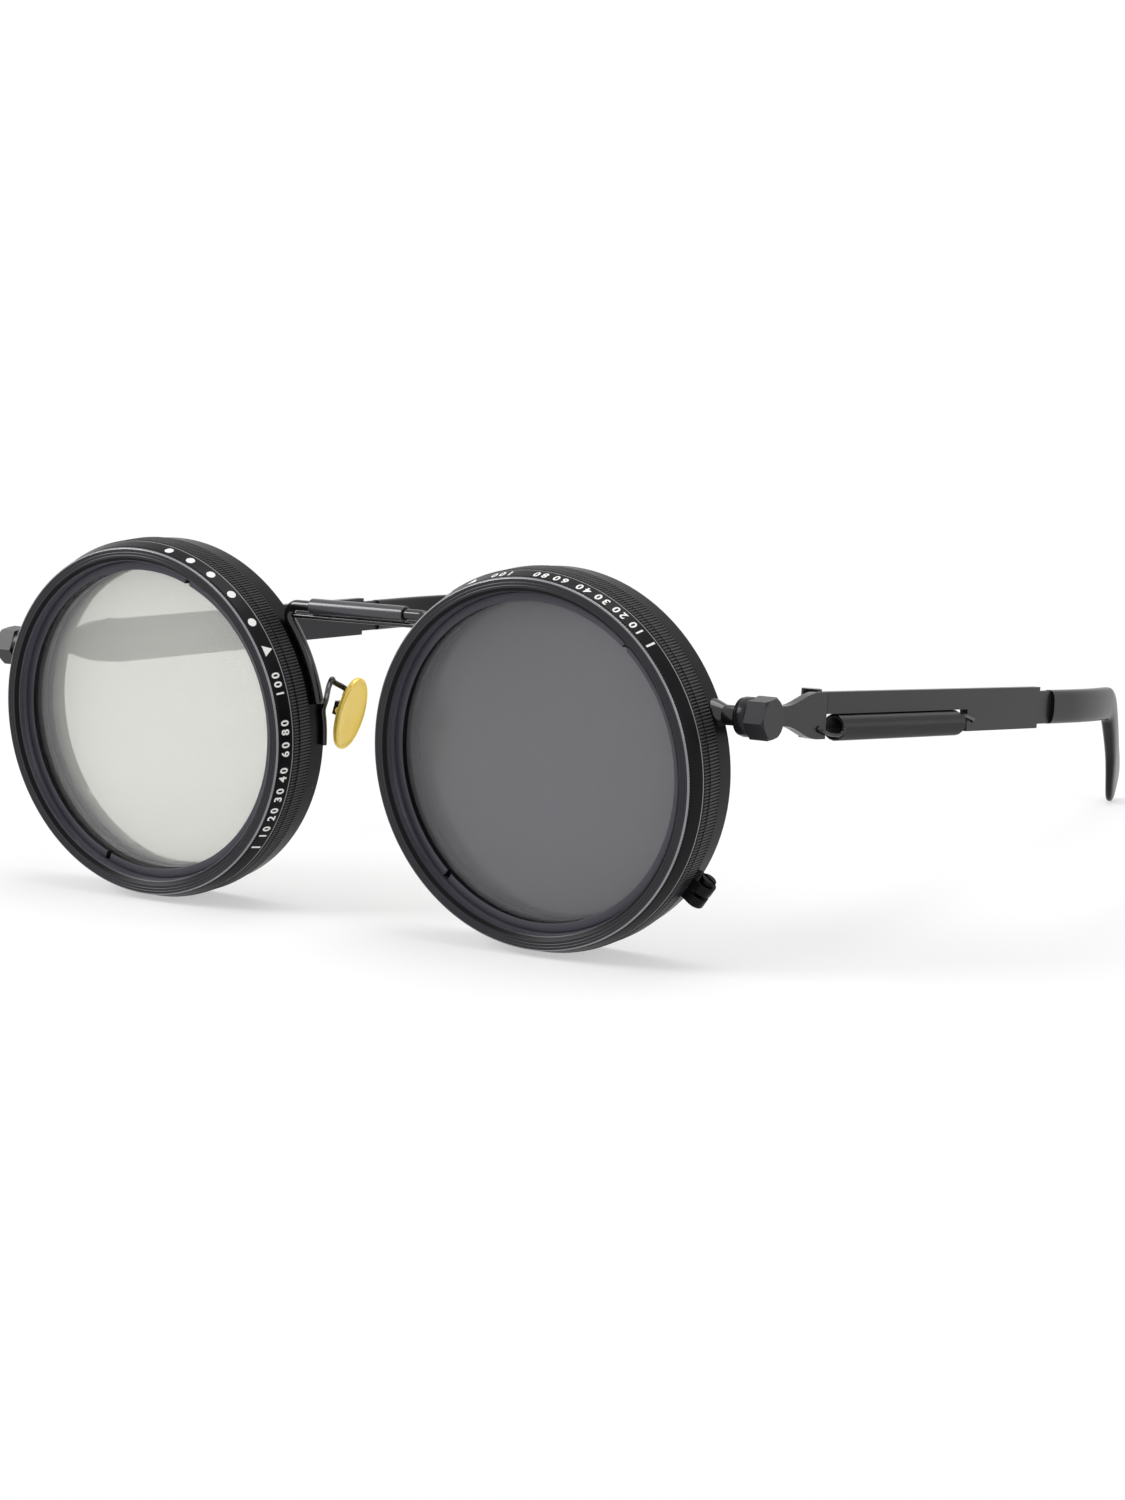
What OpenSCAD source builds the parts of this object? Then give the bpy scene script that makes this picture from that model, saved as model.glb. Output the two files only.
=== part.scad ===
// Round sunglasses with turning filter lenses, coil-spring temples and hex bolt pivots.
// The lenses face -Y, the temples run back along +Y, and Z is up.
// Left and right are as seen from the front: right is +X.
// The origin is on the ground, midway between the two sides and midway front to back.

/* [Filter stack] */
// Distance between the two lens centres
lens_gap = 69.6; // [66:0.2:80]
// Radius of the accessory thread bored in the front of each turning ring
thread_r = 24.2; // [20:0.1:24.6]
// Depth of the retaining ring behind the front face, the accessory thread being in front of it
thread_len = 2; // [1.5:0.05:4]
// Chamfer at the mouth of the accessory thread
thread_mouth = 0.5; // [0.2:0.05:0.8]
// Depth of the accessory thread, on the radius
thread_depth = 0.3; // [0.2:0.05:0.4]
// Step in from the thread to the bore that holds the front glass
seat_step = 0.3; // [0.26:0.02:0.5]
// Thickness of each filter glass
glass_t = 1.3; // [0.8:0.1:2.5]
// Thickness of each retaining ring
retainer_t = 1; // [0.6:0.1:2]
// Radial width of the front lip that the glass rests on
lip_w = 1.3; // [0.8:0.05:2]
// Thickness of the lip behind the front glass
lip_t = 1.2; // [0.4:0.1:1.5]
// Wall of the skirt by which the turning ring runs in its base ring
skirt_wall = 1.4; // [1:0.05:2]
// Length of the skirt
skirt_len = 1.35; // [1.2:0.05:3]
// Step out from the skirt to the knurled band
band_step = 1.7; // [1.2:0.1:3]
// Chamfer round the front edge of the turning ring
ring_chamfer = 0.2; // [0.1:0.05:0.4]
// Length of the tapered dial that the marks are printed on
dial_len = 2.85; // [2:0.05:3.2]
// Taper of the dial, on the radius
dial_taper = 0.7; // [0.3:0.05:1]
// Step up from the dial to the knurled band
dial_step = 0.15; // [0.05:0.05:0.2]
// Number of ribs in the knurl of each band
knurl_ribs = 180; // [60:10:240]
// Depth of the knurl
knurl_depth = 0.25; // [0.1:0.05:0.4]
// Plain edge left beside the knurl of each band
knurl_edge = 0.2; // [0.1:0.05:0.4]
// Web of the base ring behind the skirt
web_t = 1.2; // [0.5:0.05:1.5]
// Wall of the rear collar of the base ring
collar_wall = 0.75; // [0.5:0.05:1.2]
// Length of the collar left free behind the rear retaining ring
collar_free = 0.7; // [0.3:0.1:1.5]
// Width of the spanner notches in the retaining rings
notch_w = 1.4; // [0.8:0.1:2]
// Depth of the spanner notches, on the radius
notch_d = 0.55; // [0.3:0.05:0.8]
// Turn of the spanner notches on the right lens, up from the horizontal
notch_turn_right = 49; // [0:1:180]
// Turn of the spanner notches on the left lens, up from the horizontal
notch_turn_left = 112; // [0:1:180]
// Width of the split wire ring that holds the turning ring in its base
slide_w = 0.5; // [0.3:0.05:0.7]
// Height of that split wire ring, on the radius
slide_h = 0.48; // [0.3:0.02:0.6]
// Opening left in that split wire ring
slide_split = 6; // [2:1:20]

/* [Eyewire] */
// Wall of the eyewire round the collar
rim_wall = 1.94; // [1.2:0.02:3]
// Width of the rear lip of the eyewire
rim_lip_w = 1.36; // [1:0.02:2]
// Thickness of the rear lip of the eyewire
rim_lip_t = 0.4; // [0.3:0.1:1]
// Angle of the closing lugs, below the horizontal
lug_angle = 37; // [20:1:60]
// Reach of the closing lugs beyond the eyewire
lug_out = 3.2; // [2.6:0.1:5]
// Thickness of each closing lug
lug_t = 1.55; // [1:0.05:2.5]
// Width of the closing lugs, front to back
lug_w = 3; // [2:0.1:3.4]
// Slit between the closing lugs
rim_slit = 0.5; // [0.3:0.05:1]
// Radius of the rim screw
rim_screw_r = 0.6; // [0.4:0.05:0.8]
// Radius of the rim screw's head
rim_head_r = 1.1; // [0.9:0.05:1.4]
// Height of the rim screw's head
rim_head_h = 0.7; // [0.4:0.1:1.2]

/* [Bridge] */
// Height of the bridge above the lens centres
bridge_z = 18.1; // [16:0.1:20]
// Radius of the bent bridge bar
bar_wire_r = 0.8; // [0.6:0.05:1.1]
// Inside bend of the bridge bar at each top corner, on its centre line
bar_bend_r = 1.6; // [1.3:0.1:2.5]
// Angle above the horizontal where each leg of the bridge bar ends
leg_end = 8; // [4:1:16]
// Radius of the sleeve over the middle of the bridge bar
sleeve_r = 1.18; // [1:0.02:1.6]
// Length of the sleeve
sleeve_len = 16.8; // [10:0.2:18]
// Radius of the thin wire under the sleeve
under_wire_r = 0.35; // [0.25:0.05:0.5]

/* [Nose pads] */
// Length of each nose pad
pad_len = 11.5; // [9:0.5:14]
// Width of each nose pad
pad_w = 6.8; // [5:0.2:8]
// Thickness of each nose pad at its rim
pad_t = 1.15; // [0.8:0.05:2]
// How far each pad stands inside the edge of the eyewire
pad_inset = 0.5; // [0:0.1:1.5]
// Distance of the pad centre behind the eyewire
pad_back = 5.8; // [5:0.1:8]
// Height of the pad centre above the lens centres
pad_z = 1.2; // [-2:0.1:3]
// Tilt of the pads, tops toward the nose
pad_tilt = 14; // [5:1:25]
// Lean of the pads, tops toward the back
pad_lean = 8; // [0:1:15]
// Radius of the pad arm wire
arm_wire_r = 0.42; // [0.3:0.02:0.5]
// Height of the loop of the pad arm above the lens centres
loop_z = 6.45; // [5:0.1:8]
// Distance of the loop ahead of the pad centre
loop_ahead = 1.9; // [1.5:0.1:2.5]
// Half the width of the loop, on the wire's centre line
loop_half = 0.6; // [0.5:0.05:0.8]
// Distance of the pad's pin from the middle of the pad
pad_pin_out = 1.35; // [1.2:0.05:1.8]
// Radius of the boss on the back of the pad
boss_r = 0.6; // [0.5:0.05:0.8]
// Width of the boss on the back of the pad
boss_w = 1.1; // [0.8:0.1:1.6]
// Wall of the pad box
box_wall = 0.35; // [0.25:0.05:0.6]
// Radius of the pad screw
pad_screw_r = 0.28; // [0.2:0.02:0.35]

/* [Bolt] */
// Height of the hex bolt above the lens centres
bolt_rise = 7.95; // [4:0.1:12]
// Distance of the bolt axis ahead of the rear face of the eyewire
bolt_set = 1.2; // [0.8:0.1:2]
// Radius of the stub that carries the bolt
stub_r = 1.4; // [1.3:0.05:2]
// Length of the stub, out from the eyewire
stub_len = 3.62; // [3:0.02:6]
// Radius of the braze collar at the root of the stub
braze_r = 2; // [1.6:0.1:2.5]
// Thickness of the washer
washer_t = 0.55; // [0.3:0.05:1]
// Radius of the washer
washer_r = 2.6; // [2:0.1:3.2]
// Radius of the bolt's shoulder
shoulder_r = 1.3; // [1.1:0.05:1.6]
// Radius of the bolt's thread
bolt_thread_r = 0.8; // [0.6:0.05:1]
// Length of the bolt's thread
bolt_thread_len = 2.6; // [2:0.1:2.9]
// Radius of the hex head, over its corners
hex_r = 3.1; // [2.6:0.1:4]
// Height of the hex head
hex_t = 3.1; // [2:0.1:4]
// Turn of the hex head about its own axis
hex_turn = 35; // [0:1:60]

/* [Hinge] */
// Thickness of the hinge plate and the temple bar
plate_t = 1.3; // [1:0.05:2]
// Distance from the bolt to the hinge pin
plate_len = 20.2; // [18:0.1:26]
// Height of the plate and the temple bar
arm_h = 6.4; // [6:0.1:8]
// Height of the plate's neck behind the bolt
neck_h = 2.76; // [2.2:0.02:3.6]
// Radius of the plate's eye
eye_r = 2.75; // [2.3:0.05:3.2]
// Distance behind the bolt where the neck starts to flare
flare_from = 8.5; // [6:0.1:10]
// Length of the flare
flare_len = 9.5; // [7:0.1:10]
// Drop of the plate's middle below the bolt
plate_sag = 0.1; // [0:0.05:0.4]
// Radius of the hinge knuckles
knuckle_r = 1.35; // [1.2:0.05:1.6]
// Height of the hinge above the middle of the temple
hinge_top = 3.5; // [3:0.1:4]
// Depth of the hinge below the middle of the temple
hinge_base = 3.4; // [3:0.1:4]
// Height of the temple's own knuckle
middle_knuckle = 1.9; // [1.5:0.1:2.2]
// Length of the temple's tongue behind the pin
tongue_len = 6.8; // [4:0.1:9]
// Thickness of the temple's tongue
tongue_t = 0.95; // [0.7:0.05:1.2]
// Radius of the hinge screw
hinge_screw_r = 0.7; // [0.5:0.05:0.85]
// Radius of the hinge screw's head
hinge_head_r = 1.05; // [0.95:0.05:1.15]
// Height of the hinge screw's head
hinge_head_h = 0.6; // [0.4:0.05:0.9]

/* [Temple] */
// Drop of the right temple below the horizontal
drop_right = 7.8; // [2:0.1:12]
// Drop of the left temple below the horizontal
drop_left = 4.4; // [2:0.1:12]
// Outward splay of each open temple
splay = 0.5; // [0:0.1:2]
// Length of the temple bar behind the hinge
bar_len = 66.8; // [60:0.2:80]
// Lean of the rear end of the temple bar
bar_lean = 0.2; // [0:0.1:1]
// Length of the notch cut away under the bar for the spring
notch_len = 42.8; // [36:0.2:50]
// Height of the notch's edge above the middle of the bar
notch_rise = 0.1; // [0:0.05:0.5]
// Height of the tang between bar and tip
tang_h = 5.1; // [4:0.1:5.6]
// Length of the tang that shows
tang_show = 4.5; // [2:0.1:8]
// Height of the wire core inside the tip
core_h = 3; // [2:0.1:3.6]
// Thickness of the wire core inside the tip
core_t = 1; // [0.6:0.05:1.2]
// Length of the wire core inside the tip
core_len = 20; // [10:0.5:24]

/* [Spring] */
// Outside radius of the coil spring
spring_r = 1.8; // [1.5:0.05:2]
// Radius of the spring's wire
spring_wire_r = 0.2; // [0.15:0.01:0.22]
// Distance from one curl to the next
spring_pitch = 0.87; // [0.85:0.01:1.2]
// Depth of the spring's axis below the middle of the bar
spring_drop = 2.05; // [1.9:0.05:2.4]
// Distance from the hinge pin back to the first curl
spring_start = 3.4; // [3:0.1:5]
// Distance from the last curl back to the end of the notch
spring_rest = 2.9; // [2.4:0.1:5]
// Distance of the front hook hole ahead of the hinge pin
hook_ahead = 2.3; // [2:0.1:3]
// Distance of the rear hook hole behind the notch
hook_behind = 1.6; // [1.2:0.1:3]
// Depth of the rear hook hole below the middle of the bar
hook_low = 1.5; // [1:0.1:2.2]
// Radius of both hook holes
hook_hole_r = 0.45; // [0.4:0.05:0.6]

/* [Tip] */
// Height of the tip where it starts
tip_h = 5.3; // [4.6:0.1:6.5]
// Thickness of the tip where it starts
tip_t = 2.4; // [2:0.1:3.2]
// Length of the tip before its bend
tip_straight = 25.9; // [20:0.1:34]
// Radius of the bend behind the ear, on the centre line
tip_bend_r = 5.2; // [4:0.1:12]
// Angle of the bend behind the ear
tip_bend = 45; // [30:1:60]
// Height of the tip below the bend
waist_h = 4.7; // [4:0.1:6]
// Height of the paddle at the end
paddle_h = 7.6; // [6:0.1:9]
// Thickness of the paddle
paddle_t = 1.6; // [1.2:0.1:2.4]
// Length over which the paddle widens
paddle_len = 9; // [6:0.5:12]
// Length of the paddle's round end
paddle_round = 3.6; // [2:0.1:5]
// Inward curve of the tip at the far end of its straight part
tip_hook = 2.17; // [0:0.05:4]
// Distance behind the start of the tip where the inward curve begins
tip_hook_from = 6.4; // [2:0.1:12]

/* [Fits] */
// Radial running fit of the turning ring in its base ring
turn_fit = 0.06; // [0.02:0.01:0.1]
// Gap between the turning ring and its base ring, front to back
turn_gap = 0.15; // [0.1:0.05:0.4]
// Radial fit of a glass or retaining ring in its bore
glass_fit = 0.05; // [0.02:0.01:0.1]
// Running fit of bolts, pins and knuckles
pivot_fit = 0.05; // [0.02:0.01:0.1]
// Gap at the faces of the hinge knuckles and at the butt joint
hinge_gap = 0.1; // [0.05:0.05:0.3]
// Seat of a brazed or pushed-on piece on its neighbour
seat_fit = 0.02; // [0.01:0.01:0.05]
// Gap between the base ring and the eyewire
rim_gap = 0.1; // [0.05:0.05:0.3]
// Free depth between the collar's end and the rear lip of the eyewire
rim_clear = 0.2; // [0.1:0.05:0.6]
// Clearance of the pad's boss inside its box
box_fit = 0.12; // [0.08:0.02:0.2]

/* [Hidden] */
$fn = 96;
left = -1;
right = 1;

frame_black = "#26262a";
screw_black = "#1c1c20";
spring_black = "#1f1f24";
glass_grey = "#8d9391";
pad_gold = "#e8cc6a";
tip_black = "#17171a";

// Filter stack, on the radius
lens_x = lens_gap / 2;
seat_r = thread_r - seat_step;
lip_r = seat_r - lip_w;
skirt_r = seat_r + skirt_wall;
ring_r = skirt_r + band_step;
band_r = ring_r - knurl_depth - 0.05;
dial_r = ring_r - dial_step;
base_bore_r = skirt_r + turn_fit;
collar_r = thread_r + thread_depth;
pocket_r = collar_r - collar_wall;
front_glass_r = seat_r - glass_fit;
rear_glass_r = pocket_r - glass_fit;
slide_fit = 0.04;
slide_r0 = (skirt_r + base_bore_r - slide_h) / 2;
slide_r1 = slide_r0 + slide_h;

// Filter stack, front to back
retainer_y = thread_len + seat_fit;
front_glass_y = retainer_y + retainer_t;
front_lip_y = front_glass_y + glass_t;
ring_len = front_lip_y + lip_t;
band_len = ring_len - skirt_len;
base_y0 = band_len + turn_gap;
web_y = ring_len + turn_gap;
base_y1 = web_y + web_t;
rear_retainer_y = base_y1 + glass_t;
collar_y1 = rear_retainer_y + retainer_t + collar_free;
slide_y = (base_y0 + ring_len) / 2;

// Eyewire
rim_bore = collar_r + turn_fit;
rim_r = rim_bore + rim_wall;
rim_lip_r = rim_bore - rim_lip_w;
rim_y0 = base_y1 + rim_gap;
rim_y1 = collar_y1 + rim_clear + rim_lip_t;
rim_mid = (rim_y0 + rim_y1) / 2;
lug_end_r = lug_w / 2;
lug_screw_r = rim_r + lug_out - lug_end_r;
lug_half = rim_slit / 2 + lug_t;

// Bridge
leg_r = rim_r + bar_wire_r + seat_fit;
bend_z = bridge_z - bar_bend_r;
bend_angle = asin(bend_z / (leg_r + bar_bend_r));
bend_x = lens_x - (leg_r + bar_bend_r) * cos(bend_angle);
under_z = bridge_z - sleeve_r - seat_fit - under_wire_r;
under_x = lens_x - sqrt(pow(leg_r + bar_wire_r + seat_fit, 2) - pow(under_z - under_wire_r, 2));

// Bolt
bolt_y = rim_y1 - bolt_set;
stub_x0 = lens_x + sqrt(pow(rim_r, 2) - pow(bolt_rise, 2));
stub_x1 = stub_x0 + stub_len;
washer_x = stub_x1 + pivot_fit;
plate_x0 = washer_x + washer_t + pivot_fit;
plate_x1 = plate_x0 + plate_t;
head_x = plate_x1 + pivot_fit;
eye_bore = shoulder_r + pivot_fit;

// Hinge and temple
pin_x = plate_x0 - knuckle_r - hinge_gap;
pin_v = plate_len;
arm_mid_x = (plate_x0 + plate_x1) / 2;
bar_v0 = pin_v + hinge_gap;
bar_v1 = bar_v0 + bar_len;
notch_v = bar_v0 + notch_len;
tip_v = bar_v1 + tang_show;
hook_v0 = pin_v - hook_ahead;
hook_v1 = notch_v + hook_behind;
hook_w0 = -spring_drop + hook_hole_r / 4;

// Tip
tip_hook_k = tip_hook / pow(tip_straight - tip_hook_from, 2);
tip_arc = tip_bend_r * tip_bend * PI / 180;
tip_sides = 16;
tip_leg = leg_solved(leg_solved(leg_solved(20)));

// Whole object
right_tip = [for (ring = tip_rings(tip_leg)) for (p = ring) settled(p, drop_right)];
left_tip = [for (ring = tip_rings(tip_leg)) for (p = ring) settled(p, drop_left)];
rear_y = max(max([for (p = right_tip) p[1]]), max([for (p = left_tip) p[1]]));
front_y = -rear_y / 2;

// A vector of length one
function unit(v) = v / norm(v);
// A value eased from 0 to 1
function ease(t) = t <= 0 ? 0 : t >= 1 ? 1 : (1 - cos(180 * t)) / 2;
// A value between two others
function mix(a, b, t) = a + (b - a) * t;
// The drop of one side's temple
function drop(side) = side > 0 ? drop_right : drop_left;
// A point of the splayed temple, given in the frame of the lens centres
function settled(p, drop) =
  let (
    dx = p[0] - pin_x,
    dv = p[1] - pin_v,
    v = pin_v - dx * sin(splay) + dv * cos(splay)
  ) [pin_x + dx * cos(splay) + dv * sin(splay),
     bolt_y + v * cos(drop) + p[2] * sin(drop),
     bolt_rise - v * sin(drop) + p[2] * cos(drop)];

// Directions along a run of points, and the side directions that turn with it least
function headings(run) = let (last = len(run) - 1)
  [for (i = [0:last]) unit(run[min(i + 1, last)] - run[max(i - 1, 0)])];
function carried(n, t) = unit(n - (n * t) * t);
function sides_of(t, seed) =
  [for (i = 0, n = carried(seed, t[0]); i < len(t); i = i + 1, n = i < len(t) ? carried(n, t[i]) : n) n];
// Rings of points round a run, with a radius for each point
function tube_rings(run, radii, count, seed) =
  let (t = headings(run), n = sides_of(t, seed))
  [for (i = [0:len(run) - 1]) let (m = cross(t[i], n[i]))
    [for (k = [0:count - 1]) run[i] + radii[i] * (n[i] * cos(360 * k / count) + m * sin(360 * k / count))]];
// Triangles over rings of equal count, with a fan at each end
function skin_faces(rings, count) = concat(
  [for (k = [1:count - 2]) [0, k, k + 1]],
  [for (i = [0:rings - 2]) for (k = [0:count - 1]) let (a = i * count + k, b = i * count + (k + 1) % count)
    each [[a, a + count, b], [b, a + count, b + count]]],
  [for (k = [1:count - 2]) let (e = (rings - 1) * count) [e, e + k + 1, e + k]]
);
// A smooth run through chosen points
function curve_at(a, b, c, d, t) =
  (2 * b + (c - a) * t + (2 * a - 5 * b + 4 * c - d) * t * t + (3 * b - a - 3 * c + d) * t * t * t) / 2;
function smooth_run(pts, steps) = let (last = len(pts) - 1) concat(
  [for (i = [0:last - 1]) for (j = [0:steps - 1])
    curve_at(pts[max(i - 1, 0)], pts[i], pts[i + 1], pts[min(i + 2, last)], j / steps)],
  [pts[last]]
);

// The tip's centre line, its distance in from the bar's middle, and its section
function tip_at(s) =
  let (
    turned = min(max(s - tip_straight, 0), tip_arc) / tip_bend_r * 180 / PI,
    beyond = max(s - tip_straight - tip_arc, 0),
    v = tip_v + min(s, tip_straight) + tip_bend_r * sin(turned) + beyond * cos(turned),
    w = -tip_bend_r * (1 - cos(turned)) - beyond * sin(turned),
    out = max(v - tip_v - tip_hook_from, 0)
  ) [[arm_mid_x - tip_hook_k * out * out, v, w],
     unit([-2 * tip_hook_k * out * cos(turned), cos(turned), -sin(turned)])];
function tip_height(s, total) =
  let (left_over = total - s, slim = ease((s - tip_straight) / (tip_arc + 4)))
  mix(mix(tip_h, waist_h, slim), paddle_h, ease(1 - (left_over - paddle_round) / paddle_len))
    * tip_taper(left_over);
function tip_thickness(s, total) = mix(tip_t, paddle_t, ease((s - tip_straight) / (total - tip_straight)))
  * (0.4 + 0.6 * tip_taper(total - s));
function tip_taper(left_over) =
  let (t = max(paddle_round - left_over, 0) / paddle_round) sqrt(max(1 - t * t, 0.01));
function tip_stations(leg) = let (bend_end = tip_straight + tip_arc, total = bend_end + leg) concat(
  [for (i = [0:4]) tip_straight * i / 4],
  [for (i = [1:7]) tip_straight + tip_arc * i / 7],
  [for (i = [1:9]) mix(bend_end, total - paddle_round, i / 9)],
  [for (i = [1:5]) total - paddle_round * (1 - sin(18 * i))]
);
function tip_rings(leg) = let (total = tip_straight + tip_arc + leg)
  [for (s = tip_stations(leg))
    let (
      at = tip_at(s),
      across = carried([1, 0, 0], at[1]),
      up = cross(at[1], across),
      h = tip_height(s, total) / 2,
      t = tip_thickness(s, total) / 2
    )
    [for (k = [0:tip_sides - 1]) let (a = 360 * k / tip_sides, c = cos(a), d = sin(a))
      at[0] + across * t * sign(c) * pow(abs(c), 0.6) + up * h * sign(d) * pow(abs(d), 0.75)]];
// The leg's length at which the right tip meets the ground
function leg_solved(leg) =
  leg + (min([for (ring = tip_rings(leg)) for (p = ring) settled(p, drop_right)[2]]) + ring_r)
    / sin(tip_bend + drop_right);

// The spring's run: hook, curls, hook
coil_r = spring_r - spring_wire_r;
coil_v0 = pin_v + spring_start;
coil_v1 = notch_v - spring_rest;
coil_a0 = -60;
coil_a1 = 41;
curls = round((coil_v1 - coil_v0) / spring_pitch);
curl_rings = 8;
spring_sides = 6;
outer_x = plate_x1 + spring_wire_r + 0.25;
inner_x = plate_x0 - 2 * spring_wire_r;
function coil_point(a, v) = [arm_mid_x + coil_r * cos(a), v, -spring_drop + coil_r * sin(a)];
coil_span = curls * 360 + coil_a1 - coil_a0;
coil_steps = round(coil_span / 360 * curl_rings);
front_hook = [
  [inner_x, hook_v0, hook_w0],
  [inner_x + 2 * spring_wire_r, hook_v0, hook_w0],
  [plate_x1, hook_v0, hook_w0],
  [outer_x, hook_v0 + 0.25, hook_w0 - 0.1],
  [outer_x, hook_v0 + 1.2, hook_w0 - 0.4],
  [mix(outer_x, coil_point(coil_a0, 0)[0], 0.35), mix(hook_v0, coil_v0, 0.65), hook_w0 - 0.9]
];
rear_hook = [
  [mix(outer_x, coil_point(coil_a1, 0)[0], 0.5), mix(coil_v1, notch_v, 0.45), -hook_low + 0.35],
  [outer_x, notch_v - 0.2, -hook_low + 0.15],
  [outer_x, hook_v1 - 0.25, -hook_low],
  [plate_x1, hook_v1, -hook_low],
  [inner_x + 2 * spring_wire_r, hook_v1, -hook_low],
  [inner_x, hook_v1, -hook_low]
];
coil_run = [for (i = [0:coil_steps]) coil_point(coil_a0 + coil_span * i / coil_steps, mix(coil_v0, coil_v1, i / coil_steps))];
function splayed(p) = let (x = p[0] - pin_x, v = p[1] - pin_v)
  [pin_x + x * cos(splay) + v * sin(splay), pin_v + v * cos(splay) - x * sin(splay), p[2]];
spring_run = concat(front_hook, [for (p = concat(coil_run, rear_hook)) splayed(p)]);
spring_gap = min([for (i = [0:len(spring_run) - 7]) for (j = [i + 5:min(i + 14, len(spring_run) - 1)])
  norm(spring_run[i] - spring_run[j])]) - 2 * spring_wire_r;
echo(curls = curls, spring_gap = spring_gap);

// The bridge bar's run, from the lower end of its left leg to that of its right leg
function leg_point(a) = [-lens_x + leg_r * cos(a), rim_mid, leg_r * sin(a)];
half_bar = concat(
  [for (i = [0:6]) leg_point(mix(leg_end, bend_angle, i / 6))],
  [for (i = [1:7]) let (a = mix(180 + bend_angle, 90, i / 7))
    [-bend_x + bar_bend_r * cos(a), rim_mid, bend_z + bar_bend_r * sin(a)]]
);
bar_run = concat(half_bar, [for (i = [len(half_bar) - 1:-1:0]) [-half_bar[i][0], half_bar[i][1], half_bar[i][2]]]);

// The pad's own frame: X out from the nose, Z along the pad
pad_x = lens_x - rim_r - pad_inset;
pad_y = rim_y1 + pad_back;
function tilted(p) =
  let (y = p[1] * cos(pad_lean) + p[2] * sin(pad_lean), z = p[2] * cos(pad_lean) - p[1] * sin(pad_lean))
  [pad_x + p[0] * cos(pad_tilt) - z * sin(pad_tilt), pad_y + y, pad_z + p[0] * sin(pad_tilt) + z * cos(pad_tilt)];
box_half_z = boss_r + 2 * box_fit;
box_half_y = boss_w / 2 + box_fit + box_wall;
box_x0 = pad_t / 2 + 0.32;
box_x1 = pad_pin_out + boss_r + box_fit + box_wall;
box_top = box_half_z + box_wall;
wire_down_x = (box_x0 + box_x1) / 2;

// The pad arm's run, from its foot on the eyewire to the top of the pad box
foot_r = rim_r + arm_wire_r + seat_fit;
foot_y = rim_y1 - arm_wire_r;
loop_x = pad_x + wire_down_x;
loop_y = pad_y - loop_ahead;
function foot_point(a) = [lens_x - foot_r * cos(a), foot_y, foot_r * sin(a)];
arm_run = smooth_run([
  foot_point(-5.5), foot_point(-2), foot_point(2), foot_point(5.5),
  [mix(foot_point(7)[0], loop_x, 0.04), mix(foot_y, loop_y, 0.22), foot_point(8.6)[2]],
  [mix(foot_point(7)[0], loop_x, 0.8), mix(foot_y, loop_y, 0.68), mix(foot_point(8.6)[2], loop_z, 0.5)],
  [loop_x, loop_y - loop_half, loop_z - loop_half],
  [loop_x, loop_y, loop_z],
  [loop_x, loop_y + loop_half, loop_z - loop_half],
  tilted([wire_down_x, -0.2, box_top + 2]),
  tilted([wire_down_x, 0, box_top + 2 * arm_wire_r + seat_fit]),
  tilted([wire_down_x, 0, box_top + seat_fit])
], 3);

// One side of the object, drawn at +X and mirrored for the left
module placed(side) {
  translate([0, front_y, ring_r])
    if (side > 0) children(); else mirror([1, 0, 0]) children();
}
// A profile of radius and depth, turned about the lens axis
module turned(side, outline) {
  placed(side) translate([lens_x, 0, 0]) rotate([-90, 0, 0]) rotate_extrude() polygon(outline);
}
// A plain ring about the lens axis
module ring(side, r0, r1, y0, y1) {
  turned(side, [[r0, y0], [r1, y0], [r1, y1], [r0, y1]]);
}
// Spanner notches cut from the inner edge of a retaining ring
module notches(side, r0, y0) {
  angle = side > 0 ? notch_turn_right : notch_turn_left;
  placed(side) translate([lens_x, y0 - 1, 0])
    for (turn = [0, 180]) rotate([0, -angle - turn, 0])
      translate([r0 - 1, 0, -notch_w / 2]) cube([1 + notch_d, retainer_t + 2, notch_w]);
}
// A rod along X
module rod_x(x0, x1, r) {
  translate([x0, 0, 0]) rotate([0, 90, 0]) cylinder(r = r, h = x1 - x0);
}
// The frame of one side's arm: Y back along it and Z up across it
module in_arm(side) {
  placed(side) translate([0, bolt_y, bolt_rise]) rotate([-drop(side), 0, 0]) children();
}
// The frame of one side's temple, splayed about the hinge pin
module in_temple(side) {
  in_arm(side) translate([pin_x, pin_v, 0]) rotate([0, 0, -splay]) translate([-pin_x, -pin_v, 0]) children();
}
// An outline of the arm's side view, given its thickness
module slab(x0, t, outline) {
  translate([x0, 0, 0]) rotate([90, 0, 90]) linear_extrude(t) polygon(outline);
}
// A hole through the arm along X
module hole_x(v, w, r) {
  translate([plate_x0 - 1, v, w]) rotate([0, 90, 0]) cylinder(r = r, h = plate_t + 2, $fn = 32);
}
// The frame of the closing lugs: X out along the slit and Z across it
module at_lugs(side) {
  placed(side) translate([lens_x, rim_mid, 0]) rotate([0, lug_angle, 0]) children();
}

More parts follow.
